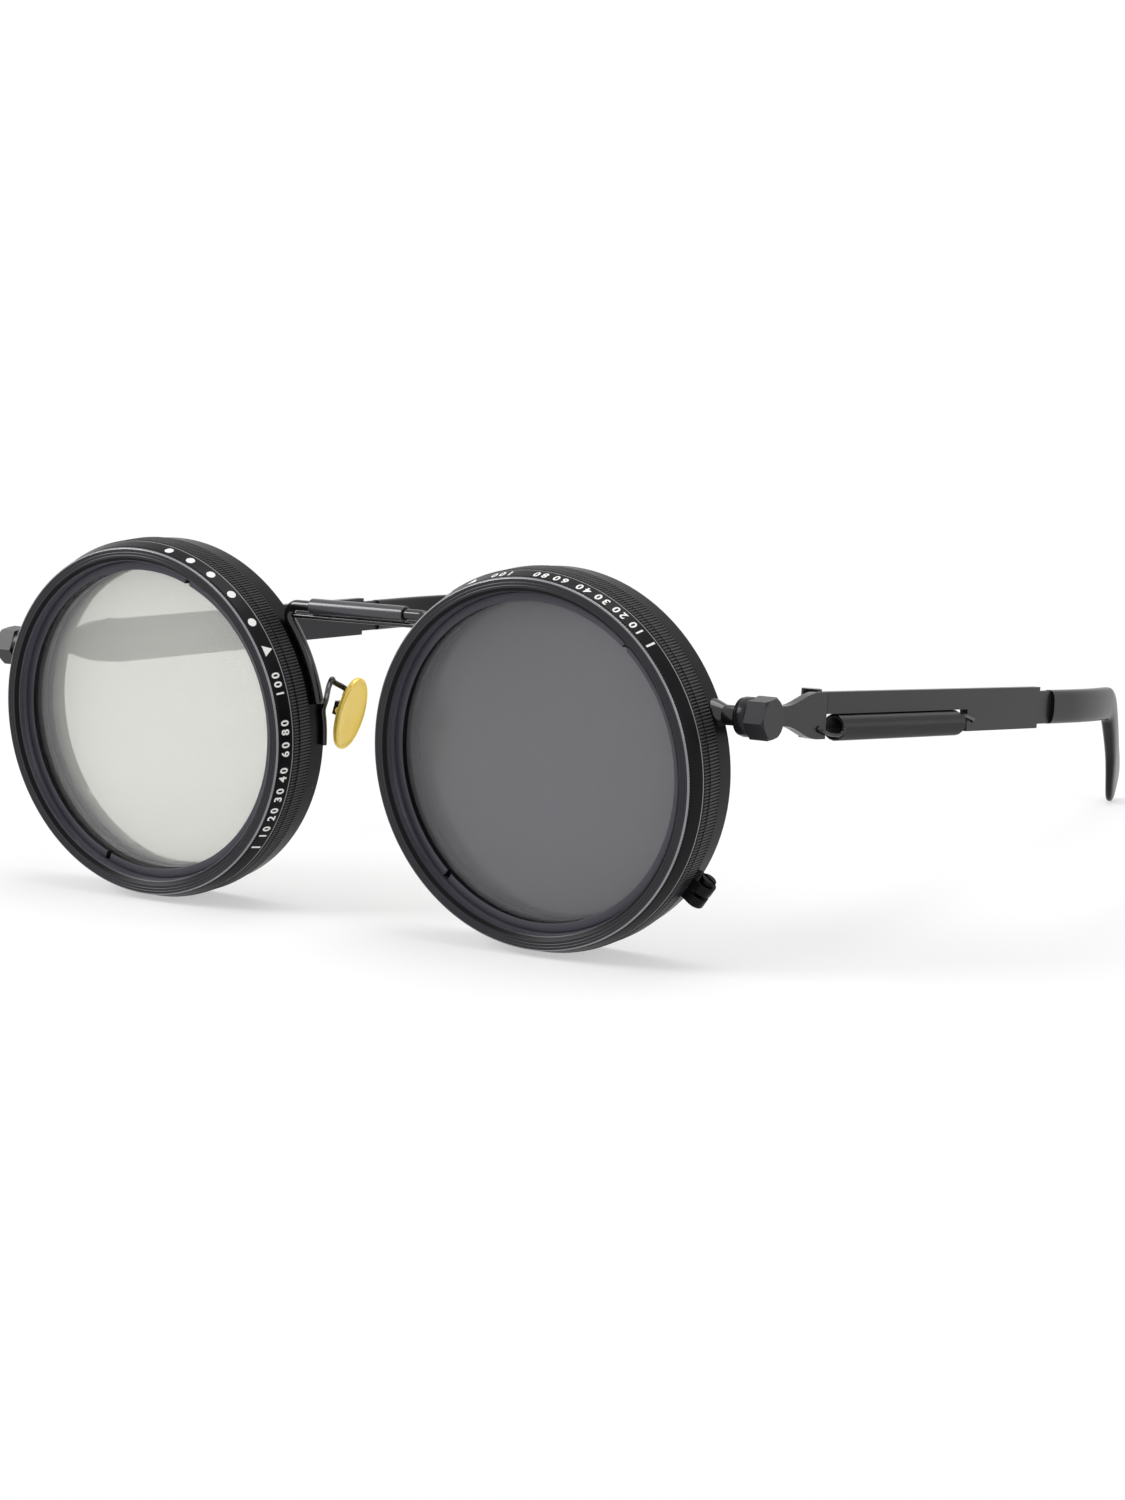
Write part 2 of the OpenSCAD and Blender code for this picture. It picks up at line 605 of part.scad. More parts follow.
// Eyewire: the split rim, with its two closing lugs
module eyewire(side) {
  color(frame_black) difference() {
    union() {
      turned(side, [
        [rim_bore, rim_y0], [rim_r, rim_y0], [rim_r, rim_y1], [rim_lip_r, rim_y1],
        [rim_lip_r, rim_y1 - rim_lip_t], [rim_bore, rim_y1 - rim_lip_t]
      ]);
      at_lugs(side) translate([0, 0, -lug_half]) linear_extrude(2 * lug_half) {
        translate([lug_screw_r, 0]) circle(r = lug_end_r);
        translate([rim_bore + rim_wall / 2, -lug_end_r]) square([lug_screw_r - rim_bore - rim_wall / 2, lug_w]);
      }
    }
    at_lugs(side) translate([rim_lip_r - 1, rim_y0 - rim_y1, -rim_slit / 2])
      cube([rim_r + lug_out, 2 * (rim_y1 - rim_y0), rim_slit]);
    at_lugs(side) translate([lug_screw_r, 0, -lug_half - 1])
      cylinder(r = rim_screw_r + pivot_fit, h = 2 * lug_half + 2, $fn = 32);
  }
}
// Rim screw through the closing lugs
module rim_screw(side) {
  color(screw_black) at_lugs(side) translate([lug_screw_r, 0, 0]) difference() {
    union() {
      translate([0, 0, -lug_half - rim_screw_r / 2]) cylinder(r = rim_screw_r, h = 2 * lug_half + rim_screw_r, $fn = 32);
      translate([0, 0, lug_half + seat_fit]) cylinder(r = rim_head_r, h = rim_head_h, $fn = 32);
    }
    translate([-rim_head_r - 1, -rim_screw_r / 3, lug_half + rim_head_h / 2])
      cube([2 * rim_head_r + 2, rim_screw_r / 1.5, rim_head_h]);
  }
}
// Stub brazed to the eyewire, threaded for the bolt
module stub(side) {
  color(frame_black) difference() {
    placed(side) translate([0, bolt_y, bolt_rise]) union() {
      rod_x(stub_x0 - 1, stub_x1, stub_r);
      translate([stub_x0 - 1, 0, 0]) rotate([0, 90, 0]) cylinder(r1 = braze_r + 0.3, r2 = stub_r, h = 2.2);
    }
    ring(side, 0, rim_r + seat_fit, rim_y0 - stub_r, rim_y1 + braze_r);
    placed(side) translate([0, bolt_y, bolt_rise])
      rod_x(stub_x1 - bolt_thread_len - 0.1, stub_x1 + 1, bolt_thread_r + seat_fit);
  }
}
// Straight knurl round a band
module knurl(side, y0, y1) {
  placed(side) translate([lens_x, y0, 0]) rotate([-90, 0, 0]) linear_extrude(y1 - y0) difference() {
    polygon([for (i = [0:2 * knurl_ribs - 1]) let (a = 180 * i / knurl_ribs, r = ring_r - (i % 2) * knurl_depth)
      [r * cos(a), r * sin(a)]]);
    circle(r = band_r - 0.3);
  }
}
// Base ring: knurled band, bore for the turning ring, and rear collar
module base_ring(side) {
  color(frame_black) knurl(side, base_y0 + knurl_edge, base_y1 - knurl_edge);
  color(frame_black) turned(side, [
    [base_bore_r, base_y0], [band_r, base_y0], [band_r, base_y1], [collar_r, base_y1], [collar_r, collar_y1],
    [pocket_r, collar_y1], [pocket_r, base_y1], [lip_r, base_y1], [lip_r, web_y], [base_bore_r, web_y],
    [base_bore_r, slide_y + slide_w / 2 + slide_fit], [slide_r1 + slide_fit, slide_y + slide_w / 2 + slide_fit],
    [slide_r1 + slide_fit, slide_y - slide_w / 2 - slide_fit], [base_bore_r, slide_y - slide_w / 2 - slide_fit]
  ]);
}
// Rear filter glass
module rear_glass(side) {
  color(glass_grey) ring(side, 0, rear_glass_r, base_y1, rear_retainer_y);
}
// Retaining ring of the rear glass
module rear_retainer(side) {
  color(frame_black) difference() {
    ring(side, lip_r, rear_glass_r, rear_retainer_y, rear_retainer_y + retainer_t);
    notches(side, lip_r, rear_retainer_y);
  }
}
// Split wire ring in the grooves of the skirt and the base ring
module slide_ring(side) {
  color("silver") placed(side) translate([lens_x, slide_y - slide_w / 2, 0]) rotate([-90, 0, 0])
    rotate_extrude(angle = 360 - slide_split) translate([slide_r0, 0]) square([slide_h, slide_w]);
}
// Turning ring: tapered dial, knurled band, skirt, glass seat and accessory thread
module front_ring(side) {
  color(frame_black) knurl(side, dial_len + knurl_edge, band_len - knurl_edge);
  color(frame_black) turned(side, [
    [thread_r, thread_mouth], [thread_r + thread_mouth, 0], [dial_r - dial_taper - ring_chamfer, 0],
    [dial_r - dial_taper, ring_chamfer], [dial_r, dial_len], [band_r, dial_len], [band_r, band_len], [skirt_r, band_len],
    [skirt_r, slide_y - slide_w / 2 - slide_fit], [slide_r0 - slide_fit, slide_y - slide_w / 2 - slide_fit],
    [slide_r0 - slide_fit, slide_y + slide_w / 2 + slide_fit], [skirt_r, slide_y + slide_w / 2 + slide_fit],
    [skirt_r, ring_len], [lip_r, ring_len], [lip_r, front_lip_y], [seat_r, front_lip_y], [seat_r, thread_len],
    [thread_r, thread_len]
  ]);
}
// Front filter glass
module front_glass(side) {
  color(glass_grey) ring(side, 0, front_glass_r, front_glass_y, front_lip_y);
}
// Retaining ring of the front glass
module front_retainer(side) {
  color(frame_black) difference() {
    ring(side, lip_r, front_glass_r, retainer_y, front_glass_y);
    notches(side, lip_r, retainer_y);
  }
}
// Shoulder bolt with its chamfered hex head
module hex_bolt(side) {
  color(screw_black) placed(side) translate([0, bolt_y, bolt_rise]) {
    rod_x(stub_x1 - bolt_thread_len, stub_x1 + pivot_fit, bolt_thread_r);
    rod_x(stub_x1, head_x + hex_t / 2, shoulder_r);
    translate([head_x, 0, 0]) rotate([hex_turn, 0, 0]) rotate([0, 90, 0]) intersection() {
      cylinder(r = hex_r, h = hex_t, $fn = 6);
      union() {
        cylinder(r = hex_r + 0.1, h = hex_t * 0.86);
        translate([0, 0, hex_t * 0.86]) cylinder(r1 = hex_r + 0.1, r2 = hex_r * 0.88, h = hex_t * 0.14);
      }
    }
  }
}
// Washer between the stub and the plate
module washer(side) {
  color("silver") placed(side) translate([0, bolt_y, bolt_rise]) difference() {
    rod_x(washer_x, washer_x + washer_t, washer_r);
    rod_x(washer_x - 1, washer_x + washer_t + 1, eye_bore);
  }
}
// The plate's upper edge, or its lower edge with sign -1
function plate_edge(v, sign) = let (t = ease((v - flare_from) / flare_len))
  sign * mix(neck_h, arm_h + 2 * plate_sag, t) / 2 - plate_sag * t;
plate_stations = [0, for (i = [0:8]) flare_from + flare_len * i / 8, pin_v];
// Hinge plate: eye on the bolt, flared neck, two knuckles and the front hook hole
module hinge_plate(side) {
  color(frame_black) in_arm(side) difference() {
    union() {
      rod_x(plate_x0, plate_x1, eye_r);
      slab(plate_x0, plate_t, concat(
        [for (v = plate_stations) [v, plate_edge(v, -1)]],
        [for (i = [len(plate_stations) - 1:-1:0]) [plate_stations[i], plate_edge(plate_stations[i], 1)]]
      ));
      plate_knuckle(middle_knuckle + hinge_gap, hinge_top);
      plate_knuckle(-hinge_base, -hinge_gap);
    }
    rod_x(plate_x0 - 1, plate_x1 + 1, eye_bore);
    hole_x(hook_v0, hook_w0, hook_hole_r);
    translate([pin_x, pin_v, -hinge_base - 1])
      cylinder(r = hinge_screw_r + seat_fit, h = hinge_base + hinge_top + 2, $fn = 48);
    translate([pin_x, pin_v, hinge_top - hinge_head_h])
      cylinder(r = hinge_head_r + pivot_fit, h = hinge_head_h + 1, $fn = 48);
  }
}
module plate_knuckle(w0, w1) {
  translate([pin_x, pin_v, w0]) cylinder(r = knuckle_r, h = w1 - w0, $fn = 64);
  translate([pin_x, pin_v - knuckle_r, w0]) cube([plate_x0 - pin_x + plate_t / 4, knuckle_r, w1 - w0]);
}
// Hinge screw, its slotted head flush with the top knuckle
module hinge_screw(side) {
  color(screw_black) in_arm(side) translate([pin_x, pin_v, 0]) difference() {
    union() {
      translate([0, 0, -hinge_base]) cylinder(r = hinge_screw_r, h = hinge_base + hinge_top - hinge_head_h, $fn = 48);
      translate([0, 0, hinge_top - hinge_head_h + seat_fit])
        cylinder(r = hinge_head_r, h = hinge_head_h - seat_fit, $fn = 48);
      translate([0, 0, hinge_top - hinge_head_h]) cylinder(r = hinge_screw_r, h = seat_fit * 2, $fn = 48);
    }
    translate([-hinge_head_r - 1, -0.15, hinge_top - hinge_head_h / 2]) cube([2 * hinge_head_r + 2, 0.3, 1]);
  }
}
// Temple bar: notched for the spring, with the middle knuckle, tang and core
module temple_bar(side) {
  color(frame_black) in_temple(side) difference() {
    union() {
      slab(plate_x0, plate_t, [
        [bar_v0, notch_rise], [notch_v, notch_rise], [notch_v, -arm_h / 2], [bar_v1 - bar_lean, -arm_h / 2],
        [bar_v1 + bar_lean, arm_h / 2], [bar_v0, arm_h / 2]
      ]);
      slab(arm_mid_x - core_t / 2, core_t, [
        [bar_v1 - 1, -tang_h / 2], [tip_v - seat_fit, -tang_h / 2], [tip_v - seat_fit, tang_h / 2],
        [bar_v1 - 1, tang_h / 2]
      ]);
      slab(arm_mid_x - core_t / 2, core_t, [
        [tip_v - 1, -core_h / 2], [tip_v + core_len, -core_h / 2], [tip_v + core_len, core_h / 2],
        [tip_v - 1, core_h / 2]
      ]);
      translate([pin_x, pin_v, 0]) cylinder(r = knuckle_r, h = middle_knuckle, $fn = 64);
      translate([plate_x0 - tongue_t, bar_v0, notch_rise])
        cube([tongue_t + plate_t / 4, tongue_len, middle_knuckle - notch_rise]);
    }
    hole_x(hook_v1, -hook_low, hook_hole_r);
    translate([pin_x, pin_v, -1]) cylinder(r = hinge_screw_r + pivot_fit, h = middle_knuckle + 2, $fn = 48);
  }
}
// Coil spring hooked across the hinge
module spring(side) {
  rings = tube_rings(spring_run, [for (p = spring_run) spring_wire_r], spring_sides, [0, 0, 1]);
  color(spring_black) in_arm(side) polyhedron(
    points = [for (ring = rings) each ring],
    faces = skin_faces(len(rings), spring_sides),
    convexity = 10
  );
}
// Temple tip, with the socket for the bar's core
module temple_tip(side) {
  rings = tip_rings(tip_leg);
  color(tip_black) in_temple(side) difference() {
    polyhedron(
      points = [for (ring = rings) each ring],
      faces = skin_faces(len(rings), tip_sides),
      convexity = 6
    );
    slab(arm_mid_x - core_t / 2 - seat_fit, core_t + 2 * seat_fit, [
      [tip_v - 1, -core_h / 2 - seat_fit], [tip_v + core_len + seat_fit, -core_h / 2 - seat_fit],
      [tip_v + core_len + seat_fit, core_h / 2 + seat_fit], [tip_v - 1, core_h / 2 + seat_fit]
    ]);
  }
}
// Bent bar of the bridge, its legs brazed down the inner sides of the eyewires
module bridge_bar() {
  rings = tube_rings(bar_run, [for (p = bar_run) bar_wire_r], 10, [0, 1, 0]);
  color(frame_black) placed(right) polyhedron(
    points = [for (ring = rings) each ring],
    faces = skin_faces(len(rings), 10),
    convexity = 6
  );
}
// Sleeve over the middle of the bridge bar
module bridge_sleeve() {
  color(frame_black) placed(right) translate([0, rim_mid, bridge_z]) difference() {
    rod_x(-sleeve_len / 2, sleeve_len / 2, sleeve_r);
    rod_x(-sleeve_len / 2 - 1, sleeve_len / 2 + 1, bar_wire_r + seat_fit);
  }
}
// Thin wire under the sleeve, between the legs of the bridge bar
module bridge_wire() {
  color(frame_black) placed(right) translate([0, rim_mid, under_z]) rod_x(-under_x, under_x, under_wire_r);
}
// Wire arm that carries a nose pad
module pad_arm(side) {
  rings = tube_rings(arm_run, [for (p = arm_run) arm_wire_r], 8, [1, 0, 0]);
  color(frame_black) placed(side) polyhedron(
    points = [for (ring = rings) each ring],
    faces = skin_faces(len(rings), 8),
    convexity = 6
  );
}
// The frame of one pad
module in_pad(side) {
  placed(side) translate([pad_x, pad_y, pad_z]) rotate([-pad_lean, -pad_tilt, 0]) children();
}
// A rod across the pad, along its width
module pad_rod(r, w) {
  translate([pad_pin_out, w / 2, 0]) rotate([90, 0, 0]) cylinder(r = r, h = w, $fn = 32);
}
// Box at the end of the pad arm, open toward the pad
module pad_box(side) {
  color(frame_black) in_pad(side) difference() {
    translate([box_x0, -box_half_y, -box_half_z]) cube([box_x1 - box_x0, 2 * box_half_y, box_half_z + box_top]);
    translate([box_x0 - 1, -boss_w / 2 - box_fit, -box_half_z - 1])
      cube([box_x1 - box_wall - box_x0 + 1, boss_w + 2 * box_fit, 2 * box_half_z + 1]);
    pad_rod(pad_screw_r + seat_fit, 2 * box_half_y + 2);
  }
}
// Screw through the pad box and the pad's boss
module pad_screw(side) {
  color(screw_black) in_pad(side) union() {
    pad_rod(pad_screw_r, 2 * box_half_y);
    translate([0, -box_half_y - 0.15 - seat_fit, 0]) pad_rod(pad_screw_r * 1.7, 0.3);
  }
}
// The pad's section from back to rim to dished face: share of the outline, place along X
pad_section = [
  [0.7, 0.48], [0.93, 0.4], [1, 0.12], [1, -0.22], [0.96, -0.46], [0.9, -0.5], [0.83, -0.42], [0.74, -0.24], [0.4, -0.16]
];
pad_sides = 28;
// Nose pad: an oval with a raised rim, and the boss on its back
module nose_pad(side) {
  rings = [for (s = pad_section) [for (k = [0:pad_sides - 1]) let (a = 360 * k / pad_sides)
    [s[1] * pad_t, s[0] * pad_w / 2 * cos(a), -s[0] * pad_len / 2 * sin(a)]]];
  color(pad_gold) in_pad(side) difference() {
    union() {
      polyhedron(
        points = [for (ring = rings) each ring],
        faces = skin_faces(len(rings), pad_sides),
        convexity = 4
      );
      pad_rod(boss_r, boss_w);
      translate([0, -boss_w / 2, -boss_r]) cube([pad_pin_out, boss_w, 2 * boss_r]);
    }
    pad_rod(pad_screw_r + pivot_fit, boss_w + 2);
  }
}

bridge_bar();
bridge_sleeve();
bridge_wire();
eyewire(left);  // left_eyewire
rim_screw(left);  // left_rim_screw
stub(left);  // left_stub
base_ring(left);  // left_base_ring
rear_glass(left);  // left_rear_glass
rear_retainer(left);  // left_rear_retainer
slide_ring(left);  // left_slide_ring
front_ring(left);  // left_front_ring
front_glass(left);  // left_front_glass
front_retainer(left);  // left_front_retainer
hex_bolt(left);  // left_hex_bolt
washer(left);  // left_washer
hinge_plate(left);  // left_hinge_plate
hinge_screw(left);  // left_hinge_screw
temple_bar(left);  // left_temple_bar
spring(left);  // left_spring
temple_tip(left);  // left_temple_tip
pad_arm(left);  // left_pad_arm
pad_box(left);  // left_pad_box
pad_screw(left);  // left_pad_screw
nose_pad(left);  // left_nose_pad
eyewire(right);  // right_eyewire
rim_screw(right);  // right_rim_screw
stub(right);  // right_stub
base_ring(right);  // right_base_ring
rear_glass(right);  // right_rear_glass
rear_retainer(right);  // right_rear_retainer
slide_ring(right);  // right_slide_ring
front_ring(right);  // right_front_ring
front_glass(right);  // right_front_glass
front_retainer(right);  // right_front_retainer
hex_bolt(right);  // right_hex_bolt
washer(right);  // right_washer
hinge_plate(right);  // right_hinge_plate
hinge_screw(right);  // right_hinge_screw
temple_bar(right);  // right_temple_bar
spring(right);  // right_spring
temple_tip(right);  // right_temple_tip
pad_arm(right);  // right_pad_arm
pad_box(right);  // right_pad_box
pad_screw(right);  // right_pad_screw
nose_pad(right);  // right_nose_pad

echo(bolt = [head_x, front_y + bolt_y, ring_r + bolt_rise], lens = [lens_x, front_y, ring_r]);
echo(pin = [pin_x, pin_v], pad_pin = tilted([pad_pin_out, 0, 0]), leg = tip_leg, rear = rear_y);
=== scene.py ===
# Round sunglasses with turning filter lenses, on a white studio table.
import math

import bmesh
import bpy
import numpy as np
from mathutils import Matrix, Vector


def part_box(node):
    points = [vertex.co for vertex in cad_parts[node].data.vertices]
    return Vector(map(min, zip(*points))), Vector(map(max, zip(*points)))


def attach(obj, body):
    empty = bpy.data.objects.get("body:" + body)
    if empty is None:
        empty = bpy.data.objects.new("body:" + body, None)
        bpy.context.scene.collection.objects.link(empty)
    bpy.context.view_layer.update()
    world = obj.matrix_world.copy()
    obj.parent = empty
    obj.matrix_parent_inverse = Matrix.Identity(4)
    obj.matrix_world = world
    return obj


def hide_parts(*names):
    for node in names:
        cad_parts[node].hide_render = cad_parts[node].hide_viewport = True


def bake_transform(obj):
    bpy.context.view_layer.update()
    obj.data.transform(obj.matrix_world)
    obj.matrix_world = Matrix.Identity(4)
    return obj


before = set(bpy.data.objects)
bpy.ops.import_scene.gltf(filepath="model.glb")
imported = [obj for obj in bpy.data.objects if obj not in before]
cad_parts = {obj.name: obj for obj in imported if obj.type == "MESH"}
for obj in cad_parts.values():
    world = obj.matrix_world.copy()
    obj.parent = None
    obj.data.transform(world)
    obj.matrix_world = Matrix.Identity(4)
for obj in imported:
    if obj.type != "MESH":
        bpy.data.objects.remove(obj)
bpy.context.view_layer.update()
sides = {"left": -1, "right": 1}
drops = {"left": 4.4, "right": 7.8}  # degrees that each temple falls below the horizontal
turns = {"left": 0, "right": 83}  # degrees that each dial is turned from its first mark
splay = 0.5  # degrees that each temple leans outwards behind its hinge


# Lowest and highest corner of a CAD node, in millimetres
def boxOf(node):
    low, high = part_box(node)
    return np.array(low) * 1000, np.array(high) * 1000


ringLow, ringHigh = boxOf("right_front_ring")
boltLow, boltHigh = boxOf("right_hex_bolt")
lensX = (ringLow[0] + ringHigh[0]) / 2
lensZ = (ringLow[2] + ringHigh[2]) / 2
frontY = ringLow[1]
ringR = (ringHigh[2] - ringLow[2]) / 2
boltY = (boltLow[1] + boltHigh[1]) / 2
boltZ = (boltLow[2] + boltHigh[2]) / 2
print("frame loaded, lens radius %.2f mm" % ringR)


# Mesh helpers

# Millimetres of the right side to metres of the frame: x changes its sign on the left, then the
# depth of the front face and the height of the lens centres are added
def sized(points, side):
    points = np.array(points, float).reshape(-1, 3)
    return (points * [side, 1, 1] + [0, frontY, lensZ]) / 1000


# Metres of the frame back to millimetres from the lens centre of one side
def fromLens(points, side):
    return points.reshape(-1, 3) * 1000 - [side * lensX, frontY, lensZ]


# Points along an arm (out, back, up) turned down by its drop about the bolt:
# depth is back cos drop + up sin drop, height is up cos drop - back sin drop
def armPoints(points, side, drop):
    points = np.array(points, float).reshape(-1, 3)
    c, s = math.cos(math.radians(drop)), math.sin(math.radians(drop))
    y = boltY + points[:, 1] * c + points[:, 2] * s
    z = boltZ - points[:, 1] * s + points[:, 2] * c
    return np.stack([side * points[:, 0], y, z], axis=1) / 1000


# All the points of a piece's own mesh as rows, in metres
def readPoints(piece):
    points = np.empty(len(piece.data.vertices) * 3)
    piece.data.vertices.foreach_get("co", points)
    return points.reshape(-1, 3)


# Rows of points put back into a piece's mesh
def writePoints(piece, points):
    piece.data.vertices.foreach_set("co", points.ravel())


# A mesh object at the origin, its doubles merged within a thousandth of a millimetre and its faces
# turned outwards
def makeMesh(name, verts, faces, smooth=True):
    mesh = bpy.data.meshes.new(name)
    mesh.from_pydata(np.asarray(verts).tolist(), [], [list(f) for f in faces])
    work = bmesh.new()
    work.from_mesh(mesh)
    bmesh.ops.remove_doubles(work, verts=work.verts, dist=1e-6)
    bmesh.ops.recalc_face_normals(work, faces=work.faces)
    work.to_mesh(mesh)
    work.free()
    if smooth:
        mesh.shade_smooth()
    piece = bpy.data.objects.new(name, mesh)
    bpy.context.scene.collection.objects.link(piece)
    return piece


# Quads over a grid of rows by columns: each joins a point to the next of its row and of its column,
# and the last to the first where the grid is closed
def gridFaces(rows, columns, closedRows, closedColumns):
    i = np.arange(rows if closedRows else rows - 1)[:, None]
    j = np.arange(columns if closedColumns else columns - 1)[None, :]
    a = i * columns + j
    b = i * columns + (j + 1) % columns
    c = ((i + 1) % rows) * columns + (j + 1) % columns
    d = ((i + 1) % rows) * columns + j
    return np.stack([a, b, c, d], axis=-1).reshape(-1, 4).tolist()


# The flat faces that close both ends of such a grid
def endFaces(rows, columns):
    return [list(range(columns)), list(range((rows - 1) * columns, rows * columns))]


# A Catmull-Rom curve: a cubic from each point to the next, whose slope at a point is half the way
# from the point before it to the point after it
def smoothRun(points, steps):
    p = np.array(points, float)
    q = np.vstack([p[:1], p, p[-1:]])
    t = np.arange(steps)[:, None] / steps
    runs = [
        (2 * b + (c - a) * t + (2 * a - 5 * b + 4 * c - d) * t**2
         + (3 * b - a - 3 * c + d) * t**3) / 2
        for a, b, c, d in zip(q[:-3], q[1:-2], q[2:-1], q[3:])
    ]
    return np.vstack(runs + [p[-1:]])


# Heading and two side directions at each point of a run: the last side direction, less its share
# along the new heading, at unit length, so that the section turns as little as possible
def carriedFrames(run, seed):
    heading = np.gradient(run, axis=0)
    heading /= np.linalg.norm(heading, axis=1)[:, None]
    across = np.empty_like(run)
    n = np.array(seed, float)
    for i, t in enumerate(heading):
        n = n - n.dot(t) * t
        n /= np.linalg.norm(n)
        across[i] = n
    return heading, across, np.cross(heading, across)


# Circles square to a run, one row per point: point + radius (across cos angle + up sin angle)
def tubeGrid(run, radii, count, seed):
    _, across, up = carriedFrames(run, seed)
    angle = np.linspace(0, 2 * np.pi, count, endpoint=False)[:, None]
    radii = np.broadcast_to(radii, len(run))[:, None, None]
    return run[:, None] + radii * (across[:, None] * np.cos(angle) + up[:, None] * np.sin(angle))


rodEnd = dict(angles=[12, 40, 65, 85], depth=0.5)  # degrees, share of the rod's radius


# A round rod along a run. Each end is closed by a shallow dish, whose radius is the rod's times the
# sine of an angle, and whose depth is a share of the rod's radius times one less that sine
def cappedTube(name, run, radius, count, seed, place):
    run = np.array(run, float)
    heading, _, _ = carriedFrames(run, seed)
    rise = np.sin(np.radians(rodEnd["angles"]))
    first = run[0] + np.outer(radius * (1 - rise), heading[0]) * rodEnd["depth"]
    last = run[-1] - np.outer(radius * (1 - rise[::-1]), heading[-1]) * rodEnd["depth"]
    full = np.vstack([first, run[1:-1], last])
    radii = np.concatenate([radius * rise, np.full(len(run) - 2, radius), radius * rise[::-1]])
    grid = tubeGrid(full, radii, count, seed)
    faces = gridFaces(len(full), count, False, True) + endFaces(len(full), count)
    return makeMesh(name, place(grid.reshape(-1, 3)), faces)


# A closed outline with each corner replaced by a parabola that starts and ends the given distance
# from it, or the most share of the way to the next corner where that is nearer
def roundedProfile(corners, radius, steps, most=0.45):
    corners = np.array(corners, float)
    out = []
    for before, at, after in zip(np.roll(corners, 1, 0), corners, np.roll(corners, -1, 0)):
        back, on = np.linalg.norm(before - at), np.linalg.norm(after - at)
        reach = min(radius, most * back, most * on)
        a = at + (before - at) / back * reach
        b = at + (after - at) / on * reach
        t = np.linspace(0, 1, steps)[:, None]
        out.append((1 - t) ** 2 * a + 2 * t * (1 - t) * at + t**2 * b)
    return np.vstack(out)


# An outline of radius and depth turned about the lens axis: centre + radius cos angle, depth,
# radius sin angle; bite(radius, depth, angle) is taken off the radius first
def lathe(name, outline, side, steps, bite=None):
    angle = np.linspace(0, 2 * np.pi, steps, endpoint=False)[None, :]
    radius = np.repeat(outline[:, :1], steps, axis=1)
    depth = np.repeat(outline[:, 1:], steps, axis=1)
    if bite:
        radius = radius - bite(radius, depth, angle)
    grid = np.stack([lensX + radius * np.cos(angle), depth, radius * np.sin(angle)], axis=-1)
    faces = gridFaces(len(outline), steps, True, True)
    piece = makeMesh(name, sized(grid.reshape(-1, 3), side), faces)
    piece.modifiers.new("flat_faces", "WEIGHTED_NORMAL")
    return piece


# A piece that stands for one CAD node: it rides where the node rides and hides it
def finish(piece, body, node):
    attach(piece, body)
    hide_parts(node)


softening = dict(merge=2e-6, flat=1, sharp=20, segments=2)  # metres, degrees, degrees, count


# A copy of a CAD node, merged, with its flat faces made whole and its edges rounded by a bevel
def softened(node, width, body):
    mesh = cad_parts[node].data.copy()
    work = bmesh.new()
    work.from_mesh(mesh)
    bmesh.ops.remove_doubles(work, verts=work.verts, dist=softening["merge"])
    bmesh.ops.dissolve_limit(work, angle_limit=math.radians(softening["flat"]),
                             verts=work.verts, edges=work.edges)
    work.to_mesh(mesh)
    work.free()
    mesh.shade_smooth()
    piece = bpy.data.objects.new(node + "_finished", mesh)
    bpy.context.scene.collection.objects.link(piece)
    bevel = piece.modifiers.new("edges", "BEVEL")
    bevel.width = width / 1000
    bevel.segments = softening["segments"]
    bevel.limit_method = "ANGLE"
    bevel.angle_limit = math.radians(softening["sharp"])
    piece.modifiers.new("flat_faces", "WEIGHTED_NORMAL")
    finish(piece, body, node)
    return piece


# Materials

# An sRGB hex colour as linear values: a twelfth of a dark one, a power of 2.4 for the rest
def linear(code):
    c = np.array([int(code[i:i + 2], 16) for i in (1, 3, 5)]) / 255
    return tuple(np.where(c <= 0.04045, c / 12.92, ((c + 0.055) / 1.055) ** 2.4)) + (1.0,)


# One shader node with its settings, its plain input values and its links
def addNode(tree, kind, settings=None, inputs=None, links=None):
    node = tree.nodes.new(kind)
    for key, value in (settings or {}).items():
        setattr(node, key, value)
    for key, value in (inputs or {}).items():
        node.inputs[key].default_value = value
    for key, socket in (links or {}).items():
        tree.links.new(socket, node.inputs[key])
    return node


# An empty node material and its node tree
def newMaterial(name):
    material = bpy.data.materials.new(name)
    material.use_nodes = True
    material.node_tree.nodes.clear()
    return material, material.node_tree


# One finish for a whole piece, whatever it had before
def give(piece, material):
    piece.data.materials.clear()
    piece.data.materials.append(material)


# Shared by all coats: size of the clouds in millimetres, detail of clouds and grit, spread of the
# roughness about its middle, and strength of the bump
coat = dict(cloud=6.0, cloudDetail=3.0, gritDetail=2.0, spread=0.15, strength=0.35)


